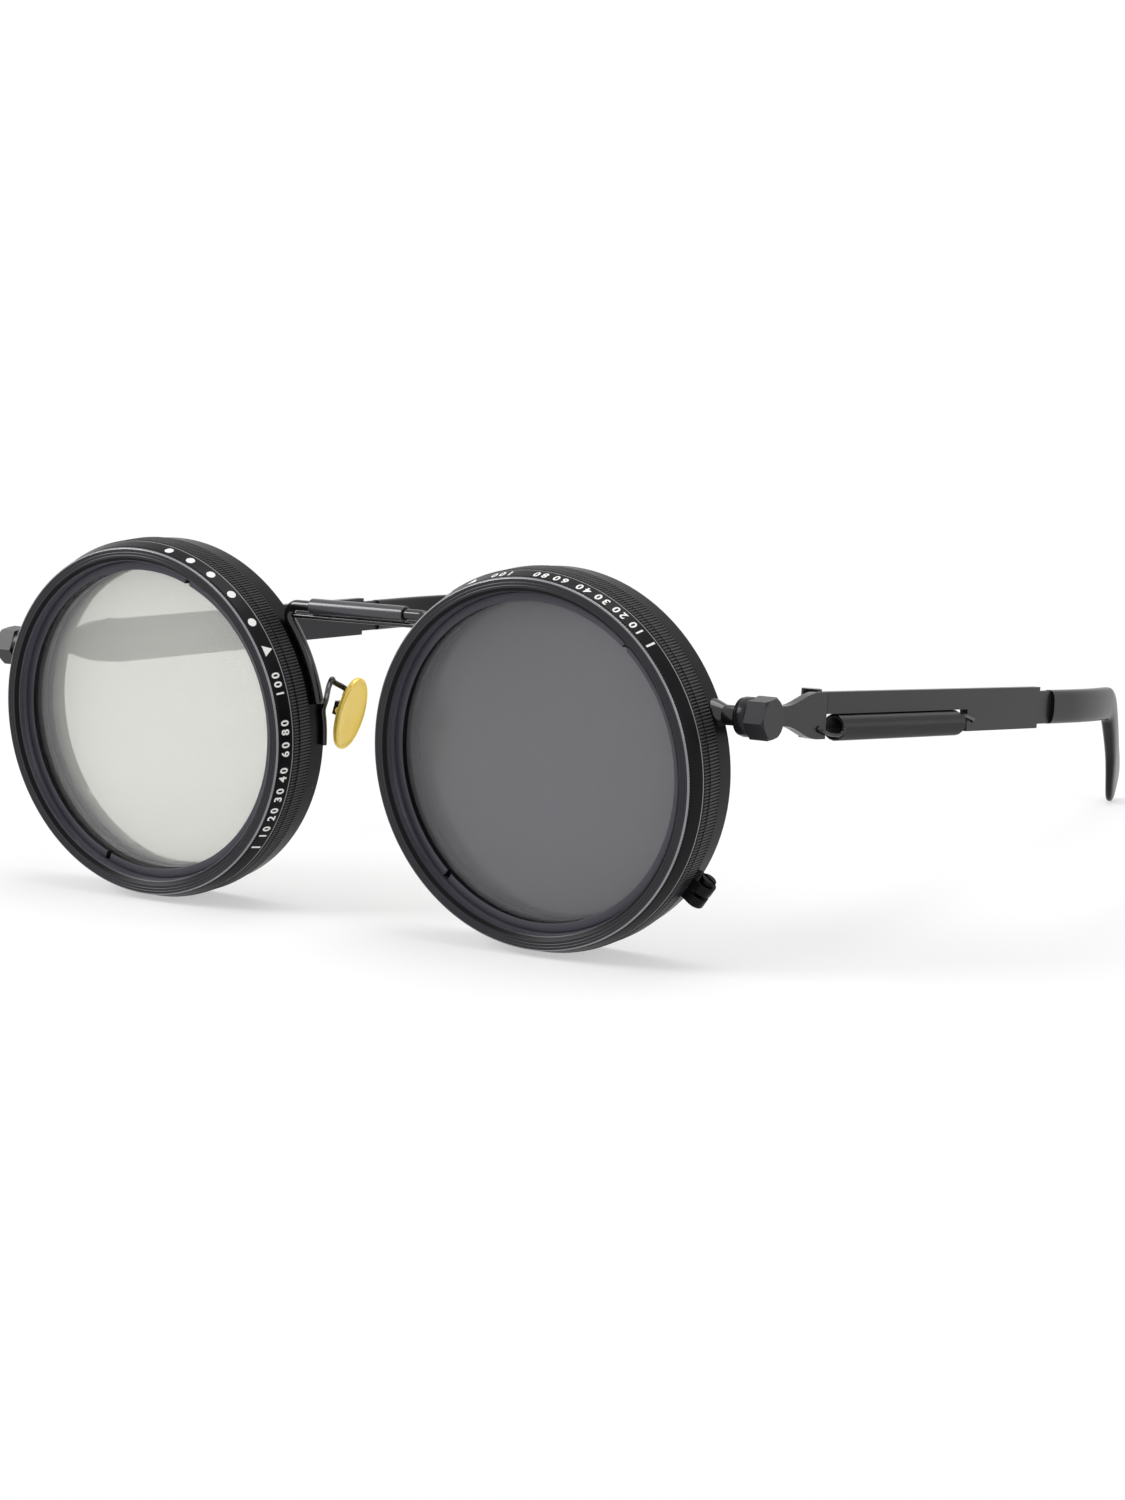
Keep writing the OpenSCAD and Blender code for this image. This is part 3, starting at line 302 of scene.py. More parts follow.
# A coated metal: soft clouds between a dark and a light shade, which also vary its roughness, and a
# grit of the given millimetres in its bump; grain stretches both along an axis
def coatedMetal(name, dark, light, roughness, grit, depth, metallic=0.0, gloss=0.2,
                grain=(1, 1, 1)):
    material, tree = newMaterial(name)
    place = addNode(tree, "ShaderNodeTexCoord")
    drawn = addNode(tree, "ShaderNodeVectorMath", {"operation": "MULTIPLY"},
                    {1: grain}, {0: place.outputs["Object"]})
    cloud = addNode(tree, "ShaderNodeTexNoise", None,
                    {"Scale": 1000 / coat["cloud"], "Detail": coat["cloudDetail"]},
                    {"Vector": drawn.outputs["Vector"]})
    speck = addNode(tree, "ShaderNodeTexNoise", None,
                    {"Scale": 1000 / grit, "Detail": coat["gritDetail"]},
                    {"Vector": drawn.outputs["Vector"]})
    tone = addNode(tree, "ShaderNodeMix", {"data_type": "RGBA"}, None,
                   {"Factor": cloud.outputs["Fac"]})
    tone.inputs["A"].default_value = linear(dark)
    tone.inputs["B"].default_value = linear(light)
    wear = addNode(tree, "ShaderNodeMapRange", None,
                   {"To Min": roughness * (1 - coat["spread"]),
                    "To Max": roughness * (1 + coat["spread"])},
                   {"Value": cloud.outputs["Fac"]})
    bump = addNode(tree, "ShaderNodeBump", None,
                   {"Strength": coat["strength"], "Distance": depth / 1000},
                   {"Height": speck.outputs["Fac"]})
    shader = addNode(tree, "ShaderNodeBsdfPrincipled", None,
                     {"Metallic": metallic, "Specular IOR Level": gloss},
                     {"Base Color": tone.outputs["Result"], "Roughness": wear.outputs["Result"],
                      "Normal": bump.outputs["Normal"]})
    addNode(tree, "ShaderNodeOutputMaterial", links={"Surface": shader.outputs["BSDF"]})
    return material


# Flat optical glass with a polarising film, ground and polished: what it doesn't pass straight
# through it scatters as a haze of its own colour, and its coated faces reflect little, hence the
# low index
def polariserGlass(name, tint, clear, frost, index=1.2):
    material, tree = newMaterial(name)
    shader = addNode(tree, "ShaderNodeBsdfPrincipled", inputs={
        "Base Color": linear(tint), "Roughness": frost, "Transmission Weight": clear, "IOR": index,
    })
    addNode(tree, "ShaderNodeOutputMaterial", links={"Surface": shader.outputs["BSDF"]})
    return material


# Each coat is given as dark shade, light shade, roughness, grit in mm and depth of that grit in mm

# Turned aluminium, anodised black: the dye leaves it deep and satin, and hides its turning marks
anodised = coatedMetal("blackAnodisedAluminium", "#08080a", "#0f0f12", 0.34, 0.12, 0.012,
                       gloss=0.1)
# Its front, faced off in the lathe: its lighter grey is painted sheen, and its higher gloss adds a
# real shine
facePaintedSheen = coatedMetal("greyFacePaintedSheen", "#1d1c21", "#28272d", 0.3, 0.1, 0.01, gloss=0.28)
# Painted highlight: a light grey on the front chamfer and the rear edge of the dial, drawing a
# bright line round the dial
chamferPaintedHighlight = coatedMetal("paintedHighlightChamfer", "#77777b", "#8c8c90", 0.2, 0.1, 0.006, gloss=0.7)
# Painted shade in the bottoms of the knurling: almost black
knurlRootPaintedShade = coatedMetal("knurlRootPaintedShade", "#050506", "#09090b", 0.4, 0.1, 0.01, gloss=0.1)
# Painted highlight on the crests of the knurling: a shade lighter, so that each tooth is seen
knurlCrestPaintedHighlight = coatedMetal("paintedHighlightKnurlCrest", "#1d1d20", "#29292c", 0.3, 0.1, 0.01, gloss=0.4)
# Bored inner walls, whose dye has gone slightly purple: a soft grey ring round each lens
innerWall = coatedMetal("purpleGreyInnerWall", "#3b3a43", "#47464f", 0.4, 0.12, 0.01, gloss=0.3)
# Steel, sprayed with black lacquer: satin, with a slight orange peel
lacquer = coatedMetal("satinBlackLacquer", "#08080a", "#101013", 0.27, 0.2, 0.012, gloss=0.11)
# Steel strip, brushed along its length under a thin black coat: dark grey with faint streaks
blade = coatedMetal("brushedBlackBlade", "#151518", "#242428", 0.3, 0.3, 0.03, gloss=0.22,
                    grain=(1, 0.05, 1))
# Cast plate under lacquer: its skin shows as pebbles, drawn as coarse as they need to be seen
lacquerPlate = coatedMetal("pebbledBlackPlate", "#121215", "#1e1e22", 0.26, 0.45, 0.05,
                           gloss=0.25)
# Steel, blackened in oil: dark grey facets with a dull shine
boltSteel = coatedMetal("blackenedBolt", "#1c1c1f", "#28282c", 0.3, 0.1, 0.01, gloss=0.25)
# Steel wire, dipped in gloss lacquer: a sharp light line runs along its black
wireGloss = coatedMetal("glossBlackWire", "#0c0c0e", "#151518", 0.16, 0.3, 0.006, gloss=0.6)
# Steel tube, drawn and plated dark grey: a broad grey highlight along its top
sleeveSteel = coatedMetal("greySleeve", "#2e2e33", "#3a3a40", 0.22, 0.2, 0.01, gloss=0.6)
# Spring wire, blackened: a glint on each curl between black gaps
springSteel = coatedMetal("blackenedSpringSteel", "#0a0a0c", "#141417", 0.25, 0.1, 0.008,
                          gloss=0.4)
# Cellulose acetate, cut and tumbled: an even black with a soft polish
acetate = coatedMetal("polishedBlackAcetate", "#0b0b0d", "#141417", 0.25, 0.4, 0.006, gloss=0.2)
# Pressed pads, gold plated: a warm yellow whose slight waves break up the shine
gilt = coatedMetal("goldPlatedPad", "#fbd34a", "#ffe884", 0.22, 0.9, 0.05, metallic=0.25,
                   gloss=0.6)
# Screen-printed ink: flat, matt white
ink = coatedMetal("whiteScreenPrint", "#e6e6e4", "#f4f4f2", 0.6, 0.1, 0.005)
# Drawn steel, left bright: light grey metal in the small screws and wire rings
brightSteel = coatedMetal("brightWireSteel", "#8f8f92", "#b0b0b3", 0.3, 0.1, 0.01, metallic=1.0,
                          gloss=0.5)
# Variable-density filters: the left pair is turned open and looks pale, and the right pair is
# turned almost shut, so that its dark grey hides what is behind
leftFront = polariserGlass("openFrontPolariser", "#fbfbfa", 0.92, 0.0)
leftRear = polariserGlass("openRearPolariser", "#f1f2ec", 0.62, 0.0)
rightFront = polariserGlass("shutFrontPolariser", "#b9b9bc", 0.83, 0.0)
rightRear = polariserGlass("shutRearPolariser", "#b0b0b3", 0.45, 0.4)
print("materials made")


# Finishes by zone: each face takes the last rule that holds for the radius and depth of its centre
# and for its column, which counts the four steps of a tooth
def zoneFinishes(piece, side, steps, rules):
    mesh = piece.data
    centres = np.empty(len(mesh.polygons) * 3)
    mesh.polygons.foreach_get("center", centres)
    local = fromLens(centres, side)
    radius, depth = np.hypot(local[:, 0], local[:, 2]), local[:, 1]
    angle = np.arctan2(local[:, 2], side * local[:, 0])
    column = np.floor(angle * steps / (2 * np.pi)).astype(int) % 4
    index = np.zeros(len(radius), int)
    for slot, (material, rule) in enumerate(rules):
        mesh.materials.append(material)
        index[rule(radius, depth, column)] = slot
    mesh.polygons.foreach_set("material_index", index)


# Turning rings and base rings: tapered dial, knurled bands, stepped bores. Radii and depths in
# millimetres, depths counted from the front face

stack = dict(
    thread=24.2, mouth=0.5, threadLength=2.0, threadPitch=0.5, threadDepth=0.18, threadLead=0.1,
    threadRunOut=0.15, seat=23.9, glassEnd=4.32, lip=22.6,
    grooves=(25.08, 25.5), grooveWidth=0.08, grooveDepth=0.09,
    dialFront=26.15, dialRear=26.85, dialLength=2.85, chamfer=0.2,
    dialSteps=[(26.2, 0.36), (26.22, 0.48), (26.27, 0.64)],
    lineRise=0.05, lineFront=0.26, lineRear=0.06,  # edge at the rear of the dial, which carries a painted highlight line
    root=26.72, bandEnd=4.17, bandEdge=0.12, bandEase=0.08, bandLand=0.2, skirt=25.3, length=5.52,
    baseFront=4.32, baseBore=25.36, web=5.67, baseRear=6.87, collar=24.5, pocket=23.75,
    collarRear=9.87, frontRound=0.03, baseRound=0.06,
    teeth=360, toothDepth=0.22, toothFade=0.1, toothLand=0.06, toothSkin=0.1,
    edgeTeeth=(0.2, 0.62, 26.1, 0.14),  # fine teeth at the front edge of the dial
)
ringSteps = stack["teeth"] * 4
# Where the finishes of the rings change
zones = dict(faceDepth=0.12, mouthEdge=24.4, mouthDepth=0.55, wallR=24.21, chamferR=25.9,
             chamferDepth=0.22, lineR=26.76, lineFrom=2.62, lineTo=2.86, bandFrom=2.98,
             edgeR=26, edgeFrom=0.22, edgeTo=0.6, pocketWall=24.05)


# Triangular teeth taken off the radius: tooth depth times the distance from the middle of a tooth,
# fading out at the edges of its band. A band is first depth, last depth, least radius and tooth
# depth
def knurl(*bands):
    def bite(radius, depth, angle):
        tooth = np.abs((angle * stack["teeth"] / (2 * np.pi)) % 1 * 2 - 1)
        cut = np.zeros(np.broadcast(radius, angle).shape)
        for first, last, least, deep in bands:
            fadeIn = np.clip((depth - first) / stack["toothFade"], 0, 1)
            fadeOut = np.clip((last - depth) / stack["toothFade"], 0, 1)
            cut += deep * tooth * (fadeIn * fadeOut * (radius > least))
        return cut
    return bite


# A band of the main teeth between two depths
def mainTeeth(first, last):
    return first, last, ringR - stack["toothSkin"], stack["toothDepth"]


# The two middle steps of each tooth are its crest, the outer two its root
def onCrest(column):
    return (column == 1) | (column == 2)


# The turning ring: a stepped outline turned about the lens axis. The thread in its mouth is a
# zigzag of half a pitch, and each groove in its face is a V
def frontRing(side, name):
    s, z = stack, zones
    turnings = (s["threadLength"] - s["mouth"] - s["threadRunOut"]) / s["threadPitch"] * 2
    half = np.arange(int(turnings))
    thread = np.stack([s["thread"] - s["threadDepth"] * (half % 2 == 0),
                       s["mouth"] + s["threadLead"] + half * s["threadPitch"] / 2], axis=1)
    grooves = [(r + across, deep) for r in s["grooves"] for across, deep in
               ((-s["grooveWidth"], 0), (0, s["grooveDepth"]), (s["grooveWidth"], 0))]
    band = s["dialLength"] + s["bandLand"]
    corners = [
        (s["thread"], s["mouth"]), (s["thread"] + s["mouth"], 0), *grooves,
        (s["dialFront"] - s["chamfer"], 0), (s["dialFront"], s["chamfer"]), *s["dialSteps"],
        (s["dialRear"] - s["lineRise"], s["dialLength"] - s["lineFront"]),
        (s["dialRear"], s["dialLength"] - s["lineRear"]),
        (s["root"], s["dialLength"]), (s["root"], s["dialLength"] + s["bandEdge"]),
        (ringR, band), (ringR, band + s["bandEdge"]),
        (ringR, s["bandEnd"] - s["bandLand"]), (ringR, s["bandEnd"] - s["bandEase"]),
        (ringR - s["bandEdge"], s["bandEnd"]), (s["skirt"], s["bandEnd"]),
        (s["skirt"], s["length"]), (s["lip"], s["length"]), (s["lip"], s["glassEnd"]),
        (s["seat"], s["glassEnd"]), (s["seat"], s["threadLength"]), *thread[::-1],
    ]
    teeth = mainTeeth(s["dialLength"] + s["bandEdge"] + s["toothLand"],
                      s["bandEnd"] - s["toothLand"])
    outline = roundedProfile(corners, s["frontRound"], 2)
    ring = lathe(name, outline, side, ringSteps, knurl(teeth, s["edgeTeeth"]))

    def inBand(r, d):
        return (r > s["root"] - s["toothSkin"]) & (d > z["bandFrom"])

    # Painted light here: sheen on the face, highlights on the chamfer and dial edge, shade and
    # highlight on the knurl
    zoneFinishes(ring, side, ringSteps, (
        (anodised, lambda r, d, c: r > 0),
        (facePaintedSheen, lambda r, d, c: (d < z["faceDepth"])
         | ((r < z["mouthEdge"]) & (d < z["mouthDepth"]))),
        (innerWall, lambda r, d, c: (r < z["wallR"]) & (d > z["mouthDepth"])),
        (chamferPaintedHighlight, lambda r, d, c: ((r > z["chamferR"]) & (d < z["chamferDepth"]))
         | ((r > z["lineR"]) & (d > z["lineFrom"]) & (d < z["lineTo"]))),
        (knurlRootPaintedShade, lambda r, d, c: inBand(r, d)),
        (knurlCrestPaintedHighlight, lambda r, d, c: inBand(r, d) & onCrest(c)),
        (knurlRootPaintedShade, lambda r, d, c: (r > z["edgeR"]) & (d > z["edgeFrom"]) & (d < z["edgeTo"])
         & ~onCrest(c)),
    ))
    return ring


# The base ring: the same knurled band round a bore, a web and a collar behind it
def baseRing(side, name):
    s, z = stack, zones
    corners = [
        (s["baseBore"], s["baseFront"]), (ringR - s["bandEdge"], s["baseFront"]),
        (ringR, s["baseFront"] + s["bandEase"]), (ringR, s["baseFront"] + s["bandLand"]),
        (ringR, s["baseRear"] - s["bandLand"]), (ringR, s["baseRear"] - s["bandEase"]),
        (ringR - s["bandEdge"], s["baseRear"]), (s["collar"], s["baseRear"]),
        (s["collar"], s["collarRear"]), (s["pocket"], s["collarRear"]),
        (s["pocket"], s["baseRear"]), (s["lip"], s["baseRear"]), (s["lip"], s["web"]),
        (s["baseBore"], s["web"]),
    ]
    teeth = mainTeeth(s["baseFront"] + s["toothLand"], s["baseRear"] - s["toothLand"])
    outline = roundedProfile(corners, s["baseRound"], 2)
    ring = lathe(name, outline, side, ringSteps, knurl(teeth))
    # Painted light here: shade in the roots and highlight on the crests of the knurl
    zoneFinishes(ring, side, ringSteps, (
        (anodised, lambda r, d, c: r > 0),
        (innerWall, lambda r, d, c: r < z["pocketWall"]),
        (knurlRootPaintedShade, lambda r, d, c: r > s["root"] - s["toothSkin"]),
        (knurlCrestPaintedHighlight, lambda r, d, c: (r > s["root"] - s["toothSkin"]) & onCrest(c)),
    ))
    return ring


# Retaining rings: flat rings with two spanner slots sawn across their faces; each is given as its
# first depth and its outer radius

retainers = dict(slotWidth=0.6, slotDepth=0.7, slotFace=0.3, thickness=1.0, round=0.08,
                 paintedShadeBore=0.04, rimDepth=0.42, turn={"left": 68, "right": 49},
                 front=(2.02, 23.85), rear=(8.17, 23.7))


# A rounded rectangle turned about the lens axis. Points of its outer face that lie within half a
# slot's width of a line through the centre move in by the slot's depth
def retainer(sideName, side, name, face):
    g = retainers
    first, outer = g[face]
    last = first + g["thickness"]
    near, far = (first, last) if face == "front" else (last, first)
    corners = [(stack["lip"], near), (outer, near), (outer, far), (stack["lip"], far)]
    piece = lathe(name, roundedProfile(corners, g["round"], 3), side, ringSteps)
    points = readPoints(piece)
    local = fromLens(points, side)
    turn = math.radians(g["turn"][sideName])
    off = local[:, 0] * math.sin(turn) - local[:, 2] * math.cos(turn)
    sawn = (np.abs(off) < g["slotWidth"] / 2) & (np.abs(local[:, 1] - near) < g["slotFace"])
    points[sawn, 1] += np.sign(far - near) * g["slotDepth"] / 1000
    writePoints(piece, points)
    # The bore takes the black anodised finish as painted shade, where its wall lies in shadow by
    # the glass
    zoneFinishes(piece, side, ringSteps, (
        (innerWall, lambda r, d, c: r > 0),
        (anodised, lambda r, d, c: (r < stack["lip"] + g["paintedShadeBore"])
         | (np.abs(d - (first + last) / 2) < g["rimDepth"])),
    ))
    return piece


for sideName, side in sides.items():
    for face, body in (("front", sideName + "_filter"), ("rear", "front")):
        node = sideName + "_" + face + "_retainer"
        finish(retainer(sideName, side, node + "_slotted", face), body, node)
    for part, make, body in (("front_ring", frontRing, sideName + "_filter"),
                             ("base_ring", baseRing, "front")):
        node = sideName + "_" + part
        finish(make(side, node + "_knurled"), body, node)
print("rings turned")


# Dial print: a pointer, dots and plain numbers round the taper of each turning ring. Angles in
# degrees round the ring, sizes in millimetres

dial = dict(
    middle=1.5, size=1.75, weight=0.03, lift=0.03, advance=2.9,
    pointer=27.9, pointerSize=0.85, pointerShape=[[-1.0, 0.62], [1.0, 0.62], [0.0, -1.15]],
    dots=(38.0, 49.5, 59.4, 68.4, 77.4), dotSize=0.66, dotSides=20,
    dash=-40.0, dashShape=[[-0.16, -0.8], [0.16, -0.8], [0.16, 0.8], [-0.16, 0.8]],
    numbers=((16.6, "100"), (2.8, "80"), (-4.2, "60"), (-12.5, "40"), (-19.5, "30"),
             (-26.5, "20"), (-33.5, "10")),
)


# One character as a flat mesh, centred, one unit high
def glyph(text):
    curve = bpy.data.curves.new("digit", "FONT")
    curve.body = text
    curve.size = 1.0
    curve.align_x = "CENTER"
    curve.align_y = "CENTER"
    curve.offset = dial["weight"]
    holder = bpy.data.objects.new("digit", curve)
    bpy.context.scene.collection.objects.link(holder)
    ready = holder.evaluated_get(bpy.context.evaluated_depsgraph_get())
    shape = bpy.data.meshes.new_from_object(ready)
    bpy.data.objects.remove(holder)
    flat = np.array([v.co[:2] for v in shape.vertices])
    return flat, [list(p.vertices) for p in shape.polygons]


# Flat marks wrapped on the taper, just above it: x over the radius is added to the angle, and y
# towards the front edge is taken off the depth, which gives the radius
def dialMarks(sideName, side):
    verts, faces = [], []
    rise = stack["dialRear"] - stack["lineRise"] - stack["dialFront"]
    slope = rise / (stack["dialLength"] - stack["lineFront"] - stack["chamfer"])

    def lay(flat, polygons, angle):
        depth = dial["middle"] - flat[:, 1]
        radius = stack["dialFront"] + slope * (depth - stack["chamfer"])
        a = np.radians(angle + turns[sideName]) + flat[:, 0] / radius
        radius = radius + dial["lift"]
        base = sum(len(v) for v in verts)
        x = side * lensX + radius * np.cos(a)
        verts.append(np.stack([x, depth, radius * np.sin(a)], axis=1))
        faces.extend([[base + k for k in polygon] for polygon in polygons])

    circle = np.linspace(0, 2 * np.pi, dial["dotSides"], endpoint=False)
    dot = dial["dotSize"] * np.stack([np.cos(circle), np.sin(circle)], axis=1)
    lay(np.array(dial["pointerShape"]) * dial["pointerSize"], [[0, 1, 2]], dial["pointer"])
    for angle in dial["dots"]:
        lay(dot, [list(range(dial["dotSides"]))], angle)
    lay(np.array(dial["dashShape"]), [[0, 1, 2, 3]], dial["dash"])
    for angle, text in dial["numbers"]:
        for k, letter in enumerate(text):
            flat, polygons = glyph(letter)
            shift = (k - (len(text) - 1) / 2) * dial["advance"]
            lay(flat * dial["size"], polygons, angle + shift)
    points = (np.vstack(verts) + [0, frontY, lensZ]) / 1000
    piece = makeMesh(sideName + "_dial_marks", points, faces, smooth=False)
    give(piece, ink)
    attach(piece, sideName + "_filter")


for sideName, side in sides.items():
    dialMarks(sideName, side)
print("dials printed")


# Close-wound springs. Hooks are given as distance out from the wire's place beside the plate,
# distance back from its hole, and height

spring = dict(
    plateIn=64.35, plateOut=65.65, pin=20.2, holeFront=17.9, holeRear=64.7, holeLow=1.5,
    holeFrontLow=1.94, inside=0.5, mouthIn=0.1, mouthOut=0.2, clear=0.1,
    coilStart=23.6, coilEnd=60.2, drop=1.88, radius=1.93, wire=0.27, wireSides=10, turns=62,
    turnSteps=18, startAngle=-14, endAngle=41, hookSteps=6,
    frontHook=((0, 0.35, -2.04), (0.1, 1.5, -2.4), (0.2, 3.2, -2.75), (0.42, 4.9, -2.72)),
    rearHook=((0.3, -3.6, -0.75), (0.15, -1.8, -1.1), (0, -0.4, -1.4)),
    blendFrom=(62.9, 19.6, 0), blendTo=(62.9, 24.5, 0),
)


# A helix along the arm, its angle growing evenly with its length, with a hook at either end that
# runs as a smooth curve through the plate; behind the pin it leans out with the temple
def coilSpring(sideName, side):
    s = spring
    mid = (s["plateIn"] + s["plateOut"]) / 2
    coil = s["radius"] - s["wire"]
    out = s["plateOut"] + s["wire"] + s["clear"]
    start, end = math.radians(s["startAngle"]), math.radians(s["endAngle"])
    t = np.linspace(0, 1, s["turns"] * s["turnSteps"])
    angle = start + (s["turns"] * 2 * np.pi + end - start) * t
    back = s["coilStart"] + (s["coilEnd"] - s["coilStart"]) * t
    curls = np.stack([mid + coil * np.cos(angle), back, -s["drop"] + coil * np.sin(angle)], axis=1)
    front = smoothRun([
        (s["plateIn"] - s["inside"], s["holeFront"], -s["holeFrontLow"]),
        (s["plateIn"] + s["mouthIn"], s["holeFront"], -s["holeFrontLow"]),
        (s["plateOut"] - s["mouthOut"], s["holeFront"], -s["holeFrontLow"]),
        *(np.array(s["frontHook"]) + [out, s["holeFront"], 0]), curls[0],
    ], s["hookSteps"])
    rear = smoothRun([
        curls[-1], *(np.array(s["rearHook"]) + [out, s["holeRear"], 0]),
        (s["plateOut"] - s["mouthOut"], s["holeRear"], -s["holeLow"]),
        (s["plateIn"] - s["inside"], s["holeRear"], -s["holeLow"]),
    ], s["hookSteps"])
    run = np.vstack([front[:-1], curls, rear[1:]])
    run[:, 0] += np.maximum(run[:, 1] - s["pin"], 0) * math.sin(math.radians(splay))
    piece = cappedTube(sideName + "_spring_wound", run, s["wire"], s["wireSides"], (0, 0, 1),
                       lambda p: armPoints(p, side, drops[sideName]))
    give(piece, springSteel)
    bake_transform(piece)
    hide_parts(sideName + "_spring")


for sideName, side in sides.items():
    coilSpring(sideName, side)
print("springs wound")


# Nose pads: ovals with a raised rim and a boss for the pin. The section gives share of the half
# width and share of the thickness, from the middle of the back round the rim to the front

pad = dict(length=11.1, width=6.5, thickness=1.15, x=7.8, y=16.27, z=1.2, tilt=14, lean=8,
           around=64, pin=1.35, boss=0.6, bossWidth=1.1, bossFront=0.3, bossSides=32)
padSection = ((0.4, 0.42), (0.74, 0.4), (0.92, 0.34), (0.985, 0.22), (1.0, 0.06), (1.0, -0.15),
              (0.99, -0.34), (0.965, -0.45), (0.93, -0.5), (0.895, -0.47), (0.865, -0.37),
              (0.8, -0.3), (0.55, -0.22), (0.25, -0.18))


# A pad's own points leaned, tilted and moved to its place
def padPlace(side):
    lean, tilt = math.radians(-pad["lean"]), math.radians(-pad["tilt"])
    turn = np.array(Matrix.Rotation(tilt, 3, "Y") @ Matrix.Rotation(lean, 3, "X"))
    return lambda p: sized(np.array(p) @ turn.T + [pad["x"], pad["y"], pad["z"]], side)


# The section's rows grown round an ellipse: thickness from the row, half width times cos angle,
# half length times sin angle; the boss is a short round bar across the back
def nosePad(sideName, side):
    rows = np.array(padSection)
    angle = np.linspace(0, 2 * np.pi, pad["around"], endpoint=False)
    x = np.repeat(rows[:, 1:] * pad["thickness"], pad["around"], axis=1)
    y = rows[:, :1] * pad["width"] / 2 * np.cos(angle)
    z = rows[:, :1] * pad["length"] / 2 * np.sin(angle)
    oval = np.stack([x, y, z], axis=-1).reshape(-1, 3)
    turn = np.linspace(0, 2 * np.pi, pad["bossSides"], endpoint=False)[None, :]
    half = np.array([[-pad["bossWidth"] / 2], [pad["bossWidth"] / 2]])
    across = np.maximum(pad["pin"] + pad["boss"] * np.cos(turn), pad["bossFront"])
    boss = np.stack(np.broadcast_arrays(across, half, pad["boss"] * np.sin(turn)), axis=-1)
    faces = gridFaces(len(rows), pad["around"], False, True) + endFaces(len(rows), pad["around"])
    bossFaces = gridFaces(2, pad["bossSides"], False, True) + endFaces(2, pad["bossSides"])
    faces += [[len(oval) + k for k in face] for face in bossFaces]
    verts = np.vstack([oval, boss.reshape(-1, 3)])
    piece = makeMesh(sideName + "_nose_pad_gilt", padPlace(side)(verts), faces)
    give(piece, gilt)
    finish(piece, sideName + "_pad", sideName + "_nose_pad")


for sideName, side in sides.items():
    nosePad(sideName, side)
print("pads pressed")


# Temple tips: a rounded bar that bends down behind the ear and flattens into a paddle

tip = dict(
    start=91.6, middle=64.9994, straight=25.9, bend=45, bendR=5.2, leg=20.3212,
    height=5.3, thickness=2.4, waist=4.7, waistBeyond=4, paddleHeight=7.6, paddleThickness=1.6,
    paddleLength=9, paddleRound=3.6, endShare=0.3, leastTaper=0.0004, curl=0.00570677,
    curlFrom=6.4, pinX=62.8994, pinV=20.2, flatX=0.6, flatZ=0.75, around=48,
    runSteps=30, bendSteps=22, endSteps=14, sharp=60,
)


# From 0 to 1 as half of one less the cosine of a half turn
def ease(t):
    return (1 - np.cos(np.pi * np.clip(t, 0, 1))) / 2


# Superellipses square to a run of straight, arc and leg: cos and sin raised to a power below 1,
# times half the thickness and half the height, which ease from bar to waist to paddle
def templeTip(sideName, side):
    t = tip
    arc = t["bendR"] * math.radians(t["bend"])
    bent = t["straight"] + arc
    total = bent + t["leg"]
    quarter = np.sin(np.linspace(0, np.pi / 2, t["endSteps"]))
    s = np.concatenate([
        np.linspace(0, t["straight"], t["runSteps"])[:-1],
        np.linspace(t["straight"], bent, t["bendSteps"])[:-1],
        np.linspace(bent, total - t["paddleRound"], t["runSteps"])[:-1],
        total - t["paddleRound"] * (1 - quarter),
    ])
    turned = np.clip(s - t["straight"], 0, arc) / t["bendR"]
    beyond = np.maximum(s - t["straight"] - arc, 0)
    v = (t["start"] + np.minimum(s, t["straight"]) + t["bendR"] * np.sin(turned)
         + beyond * np.cos(turned))
    w = -t["bendR"] * (1 - np.cos(turned)) - beyond * np.sin(turned)
    x = t["middle"] - t["curl"] * np.maximum(v - t["start"] - t["curlFrom"], 0) ** 2
    run = np.stack([x, v, w], axis=1)
    left = total - s
    past = np.maximum(t["paddleRound"] - left, 0) / t["paddleRound"]
    taper = np.sqrt(np.maximum(1 - past ** 2, t["leastTaper"]))
    slim = ease((s - t["straight"]) / (arc + t["waistBeyond"]))
    wide = ease(1 - (left - t["paddleRound"]) / t["paddleLength"])
    thin = ease((s - t["straight"]) / (total - t["straight"]))
    bar = (1 - slim) * t["height"] + slim * t["waist"]
    height = ((1 - wide) * bar + wide * t["paddleHeight"]) * taper / 2
    thickness = (1 - thin) * t["thickness"] + thin * t["paddleThickness"]
    thickness = thickness * (t["endShare"] + (1 - t["endShare"]) * taper) / 2
    _, across, up = carriedFrames(run, (1, 0, 0))
    a = np.linspace(0, 2 * np.pi, t["around"], endpoint=False)
    c = np.sign(np.cos(a)) * np.abs(np.cos(a)) ** t["flatX"]
    d = np.sign(np.sin(a)) * np.abs(np.sin(a)) ** t["flatZ"]
    grid = (run[:, None] + across[:, None] * (thickness[:, None] * c)[..., None]
            + up[:, None] * (height[:, None] * d)[..., None])
    points = grid.reshape(-1, 3)
    lean = math.radians(splay)
    dx, dv = points[:, 0] - t["pinX"], points[:, 1] - t["pinV"]
    points = np.stack([t["pinX"] + dx * math.cos(lean) + dv * math.sin(lean),
                       t["pinV"] + dv * math.cos(lean) - dx * math.sin(lean), points[:, 2]], axis=1)
    faces = gridFaces(len(run), t["around"], False, True) + endFaces(len(run), t["around"])
    place = armPoints(points, side, drops[sideName])
    piece = makeMesh(sideName + "_temple_tip_polished", place, faces)
    piece.data.set_sharp_from_angle(angle=math.radians(t["sharp"]))
    give(piece, acetate)
    finish(piece, sideName + "_temple", sideName + "_temple_tip")


for sideName, side in sides.items():
    templeTip(sideName, side)
print("temple tips shaped")


# Bridge: a bent bar brazed down the inner sides of the eyewires

bridge = dict(depth=8.72, bar=0.8, barSides=20, legR=27.32, legEnd=8, bendAngle=34.7878,
              bendX=11.0489, bendZ=16.5, bendR=1.6, legSteps=24, bendSteps=20)


